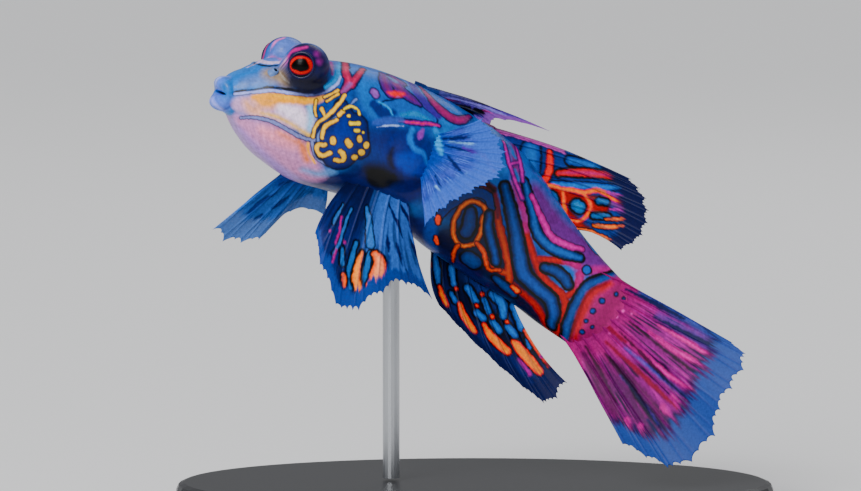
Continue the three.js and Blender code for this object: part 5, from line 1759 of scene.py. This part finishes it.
@dataclass(frozen=True)
class Eye:
    """An eyeball sunk in its turret, with the fleshy rim round it.

    Iris and pupil are ovals, given by their half lengths in mm. Spans are shares of them.
    """

    side: Side
    radius: float = 1.5
    push: float = 1.1
    forward: float = 34.0
    iris: Point = (1.24, 0.95)
    pupil: Point = (0.8, 0.58)
    slant: float = 14.0
    pupil_waves: tuple[Triple, ...] = ((0.07, 3, 0.8), (0.05, 5, 0.0))
    fibre_count: int = 41
    fibre_sway: Point = (3, 7)
    fibre_reach: float = 0.93
    iris_shade: Point = (0.88, 1.0)
    iris_rim: Point = (1.0, 1.06)
    pupil_halo: Point = (1.0, 1.22)
    pupil_edge: Point = (0.94, 1.0)
    lid_radius: float = 1.24
    lid_thick: float = 0.16
    lid_sink: float = 0.02
    pole_gap: float = 0.002
    around: int = 96
    lid_around: int = 20

    def axes(self) -> tuple[Array, Array, Array, Array]:
        """Works out where the eye is and how it is turned.

        Returns:
            The eye's middle, the way it looks, its level way and its up.
        """
        _, back, up, left = Spine.frame(np.array(BODY.turret.at))
        turn = math.radians(self.forward)
        look = left * self.side.value * math.cos(turn) - back * math.sin(turn)
        return BODY.turret.centre(self.side) + look * self.push, look, np.cross(up, look), up

    def paint(self, away: Array, points: Array) -> Array:
        """Paints iris and pupil.

        Args:
            away: The eyeball's points as seen from its middle.
            points: The same points in the model.

        Returns:
            Red, green and blue of each point.
        """
        _, look, level, up = self.axes()
        slant = math.radians(self.slant)
        across = away @ (level * math.cos(slant) + up * math.sin(slant))
        high = away @ (up * math.cos(slant) - level * math.sin(slant))
        front = away @ look > 0
        iris = np.hypot(across / self.iris[0], high / self.iris[1])
        angle = np.arctan2(high, across)
        pupil = np.hypot(across / self.pupil[0], high / self.pupil[1])
        pupil *= 1 + sum(tall * np.sin(count * angle + start) for tall, count, start in self.pupil_waves)
        sway, sways = self.fibre_sway
        fibres = 0.5 + 0.5 * np.sin(angle * self.fibre_count + sway * np.sin(angle * sways))
        canvas = Canvas(points, np.ones(points.shape[:2], bool))
        canvas.cover("#101a4a")
        canvas.mix("#b41838", (front & (iris < 1.0)) * 1.0)
        canvas.mix("#dc3c38", 0.5 * fibres * (front & (iris < self.fibre_reach)))
        canvas.mix("#5c0c40", 0.8 * smooth_step(*self.iris_shade, iris) * front)
        canvas.mix("#0a1038", smooth_step(*self.iris_rim, iris) * front)
        canvas.mix("#3a0c14", (1 - smooth_step(*self.pupil_halo, pupil)) * front)
        canvas.mix("#020204", (1 - smooth_step(*self.pupil_edge, pupil)) * front)
        return canvas.colour

    def ball(self, finish: Material) -> Piece:
        """Builds the eyeball.

        Args:
            finish: Its material.

        Returns:
            The eyeball's object.
        """
        middle, look, level, up = self.axes()
        polar = np.linspace(self.pole_gap, math.pi - self.pole_gap, self.around)
        turn = full_turn(self.around)
        ring = np.cos(turn)[:, None] * level + np.sin(turn)[:, None] * up
        rows = look * np.cos(polar)[:, None, None] + ring * np.sin(polar)[:, None, None]
        points = middle + rows * self.radius
        colour = self.paint(points - middle, points)
        paint = opaque(np.concatenate([colour, colour[:1], colour[-1:]]))
        ends = np.array([middle + look * self.radius, middle - look * self.radius])
        points = np.concatenate([points.reshape(-1, 3), ends])
        faces = tube_faces(len(polar), self.around)
        return mesh_of(f"eye_{self.side.name.lower()}_ball", points, faces, paint, finish)

    def lid(self, finish: Material) -> Piece:
        """Builds the rim of skin round the eye.

        Args:
            finish: Its material.

        Returns:
            The rim's object.
        """
        middle, look, level, up = self.axes()
        turn, bend = full_turn(self.around), full_turn(self.lid_around)
        out = np.cos(turn)[:, None] * level + np.sin(turn)[:, None] * up
        depth = math.sqrt(self.radius**2 - self.lid_radius**2) - self.lid_sink
        centre = middle + look * depth + out * self.lid_radius
        rows = out[:, None] * np.cos(bend)[None, :, None] + look * np.sin(bend)[None, :, None]
        points = (centre[:, None] + rows * self.lid_thick).reshape(-1, 3)
        grid = np.arange(self.around * self.lid_around).reshape(self.around, self.lid_around)
        along, over = np.roll(grid, -1, axis=0), np.roll(grid, -1, axis=1)
        quads = np.stack([grid, along, np.roll(along, -1, axis=1), over], axis=-1).reshape(-1, 4)
        colour = np.tile(pigment("#0a1a58"), (len(points), 1))
        return mesh_of(f"eye_{self.side.name.lower()}_rim", points, quads.tolist(), opaque(colour), finish)


@dataclass(frozen=True)
class Nostril:
    """A short soft tube on the snout, with painted shade in the hole in its end."""

    side: Side
    at: float = 1.95
    angle: float = 50.0
    radius: float = 0.36
    height: float = 0.35
    hole: float = 0.17
    foot_flare: float = 1.7
    foot_sink: float = 0.3
    around: int = 40
    rows: int = 31
    # Rows over which the inside of the hole turns to painted shade
    hole_shade_rows: Point = (20, 25)

    def profile(self) -> Array:
        """Works out the tube's outline.

        Returns:
            Distance from its middle and height over the skin, from the sunk foot over the rim into the hole.
        """
        wall = (self.radius + self.hole) / 2
        outline = (
            (self.radius * self.foot_flare, -self.foot_sink),
            (self.radius * 1.15, 0.02),
            (self.radius, self.height * 0.7),
            (wall, self.height),
            (self.hole, self.height * 0.8),
            (self.hole * 0.8, 0.05),
        )
        return through(np.array(outline), np.linspace(0, len(outline) - 1, self.rows))

    def build(self, finish: Material) -> Piece:
        """Builds the tube.

        Args:
            finish: Its material.

        Returns:
            The tube's object.
        """
        angle = math.radians(self.angle)
        foot = BODY.skin(np.array(self.at), np.array(angle if self.side is Side.LEFT else math.pi - angle))
        middle, back, _, _ = Spine.frame(np.array(self.at))
        axis = unit(foot - middle)
        profile = self.profile()
        turn = full_turn(self.around)
        ring = np.cos(turn)[:, None] * back + np.sin(turn)[:, None] * np.cross(axis, back)
        grid = foot + ring * profile[:, :1, None] + axis * profile[:, 1:, None]
        points = np.concatenate([grid.reshape(-1, 3), [grid[0].mean(0), grid[-1].mean(0)]])
        # Painted shade: the inside of the hole is darkened
        deep = np.repeat(smooth_step(*self.hole_shade_rows, np.arange(float(self.rows))), self.around)
        deep = np.concatenate([deep, [0.0, 1.0]])[:, None]
        colour = opaque(pigment("#7c90bc") * (1 - deep) + pigment("#060818") * deep)
        faces = tube_faces(self.rows, self.around)
        return mesh_of(f"nostril_{self.side.name.lower()}", points, faces, colour, finish)


@dataclass(frozen=True)
class Lamp:
    """A square soft lamp that faces the model, with its place and side in mm and its power in watts."""

    name: str
    place: Triple
    side: float
    power: float

    def hang(self) -> None:
        """Adds the lamp."""
        light = bpy.data.lights.new(self.name, "AREA")
        light.size = self.side * MM
        light.energy = self.power
        lamp = bpy.data.objects.new(self.name, light)
        lamp.location = Vector(self.place) * MM
        way = Vector(PICTURE.target) - Vector(self.place)
        lamp.rotation_euler = way.to_track_quat("-Z", "Y").to_euler()
        bpy.context.scene.collection.objects.link(lamp)


@dataclass(frozen=True)
class Studio:
    """A pale floor, a wide soft main light, two softer lamps, a dim even sky and the camera."""

    floor_half: float = 3000.0
    floor_colour: str = "#e9e9ea"
    floor_roughness: float = 0.75
    sun_way: Triple = (0.45, 0.75, -0.95)
    sun_wide: float = 30.0
    sun_strength: float = 2.6
    lamps: tuple[Lamp, ...] = (
        Lamp("front_lamp", (-240, -420, 300), 260, 1.6),
        Lamp("back_lamp", (200, 420, 460), 300, 0.5),
    )
    sky_colour: str = "#eef0f4"
    sky_strength: float = 0.35
    sensor_mm: float = 36.0
    nearest: float = 10.0

    def floor(self) -> Piece:
        """Builds the floor under the model.

        Returns:
            The floor's object.
        """
        half = self.floor_half
        corners = np.array([(-half, -half, 0), (half, -half, 0), (half, half, 0), (-half, half, 0)])
        material, tree = new_material("pale_floor")
        shader = add_node(tree, "ShaderNodeBsdfPrincipled", Base_Color=(*linear(self.floor_colour), 1),
            Roughness=self.floor_roughness)
        add_node(tree, "ShaderNodeOutputMaterial", Surface=shader.outputs["BSDF"])
        return mesh_of("studio_floor", corners, [[0, 1, 2, 3]], opaque(np.ones((4, 3))), material)

    def lights(self) -> None:
        """Adds the lights and the sky."""
        main = bpy.data.lights.new("main_light", "SUN")
        main.angle = math.radians(self.sun_wide)
        main.energy = self.sun_strength
        holder = bpy.data.objects.new("main_light", main)
        holder.rotation_euler = Vector(self.sun_way).to_track_quat("-Z", "Y").to_euler()
        bpy.context.scene.collection.objects.link(holder)
        for lamp in self.lamps:
            lamp.hang()
        world = bpy.data.worlds.new("studio_sky")
        bpy.context.scene.world = world
        world.use_nodes = True
        sky = world.node_tree.nodes["Background"]
        sky.inputs["Color"].default_value = (*linear(self.sky_colour), 1)
        sky.inputs["Strength"].default_value = self.sky_strength

    def camera(self) -> None:
        """Adds the camera at the picture's viewing angle."""
        look, _, _ = PICTURE.axes()
        camera = bpy.data.cameras.new("picture_camera")
        camera.sensor_width = self.sensor_mm
        camera.lens = camera.sensor_width * PICTURE.distance / PICTURE.width
        camera.clip_start = self.nearest * MM
        body = bpy.data.objects.new("picture_camera", camera)
        body.location = Vector(PICTURE.eye().tolist()) * MM
        body.rotation_euler = Vector(look.tolist()).to_track_quat("-Z", "Y").to_euler()
        bpy.context.scene.collection.objects.link(body)
        bpy.context.scene.camera = body


def report(piece: Piece) -> int:
    """Logs a piece's number of triangles and returns it."""
    count = sum(len(polygon.vertices) - 2 for polygon in piece.data.polygons)
    LOG.info("%s: %d triangles", piece.name, count)
    return count


def main() -> None:
    """Builds and dresses every piece."""
    logging.basicConfig(level=logging.INFO, format="%(name)s: %(message)s")
    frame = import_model()
    studio = Studio()
    studio.camera()
    studio.lights()
    studio.floor()
    skin_finish, fin_finish, eye_finish = SlimySkin().make(), FinFilm().make(), EyeGloss().make()
    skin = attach(Skin().build(skin_finish), "root")
    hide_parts("head", "trunk", "tail_stalk", "upper_lip", "lower_lip")
    for side in Side:
        eye = Eye(side)
        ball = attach(eye.ball(eye_finish), "root")
        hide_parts(f"eye_{side.name.lower()}")
        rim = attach(eye.lid(skin_finish), "root")
        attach(Nostril(side).build(skin_finish), "root")
    for shape in FINS:
        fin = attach(Fin(shape).build(fin_finish), "root")
        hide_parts(shape.name)
    for node, finish in (("stand_base", Lacquer().make()), ("stand_rod", DrawnSteel().make())):
        frame["nodes"][node].data.materials.clear()
        frame["nodes"][node].data.materials.append(finish)
    shown = [piece for piece in bpy.context.scene.objects if piece.type == "MESH" and not piece.hide_render]
    LOG.info("all pieces: %d triangles", sum(report(piece) for piece in shown))
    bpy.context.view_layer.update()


if __name__ == "__main__":
    main()
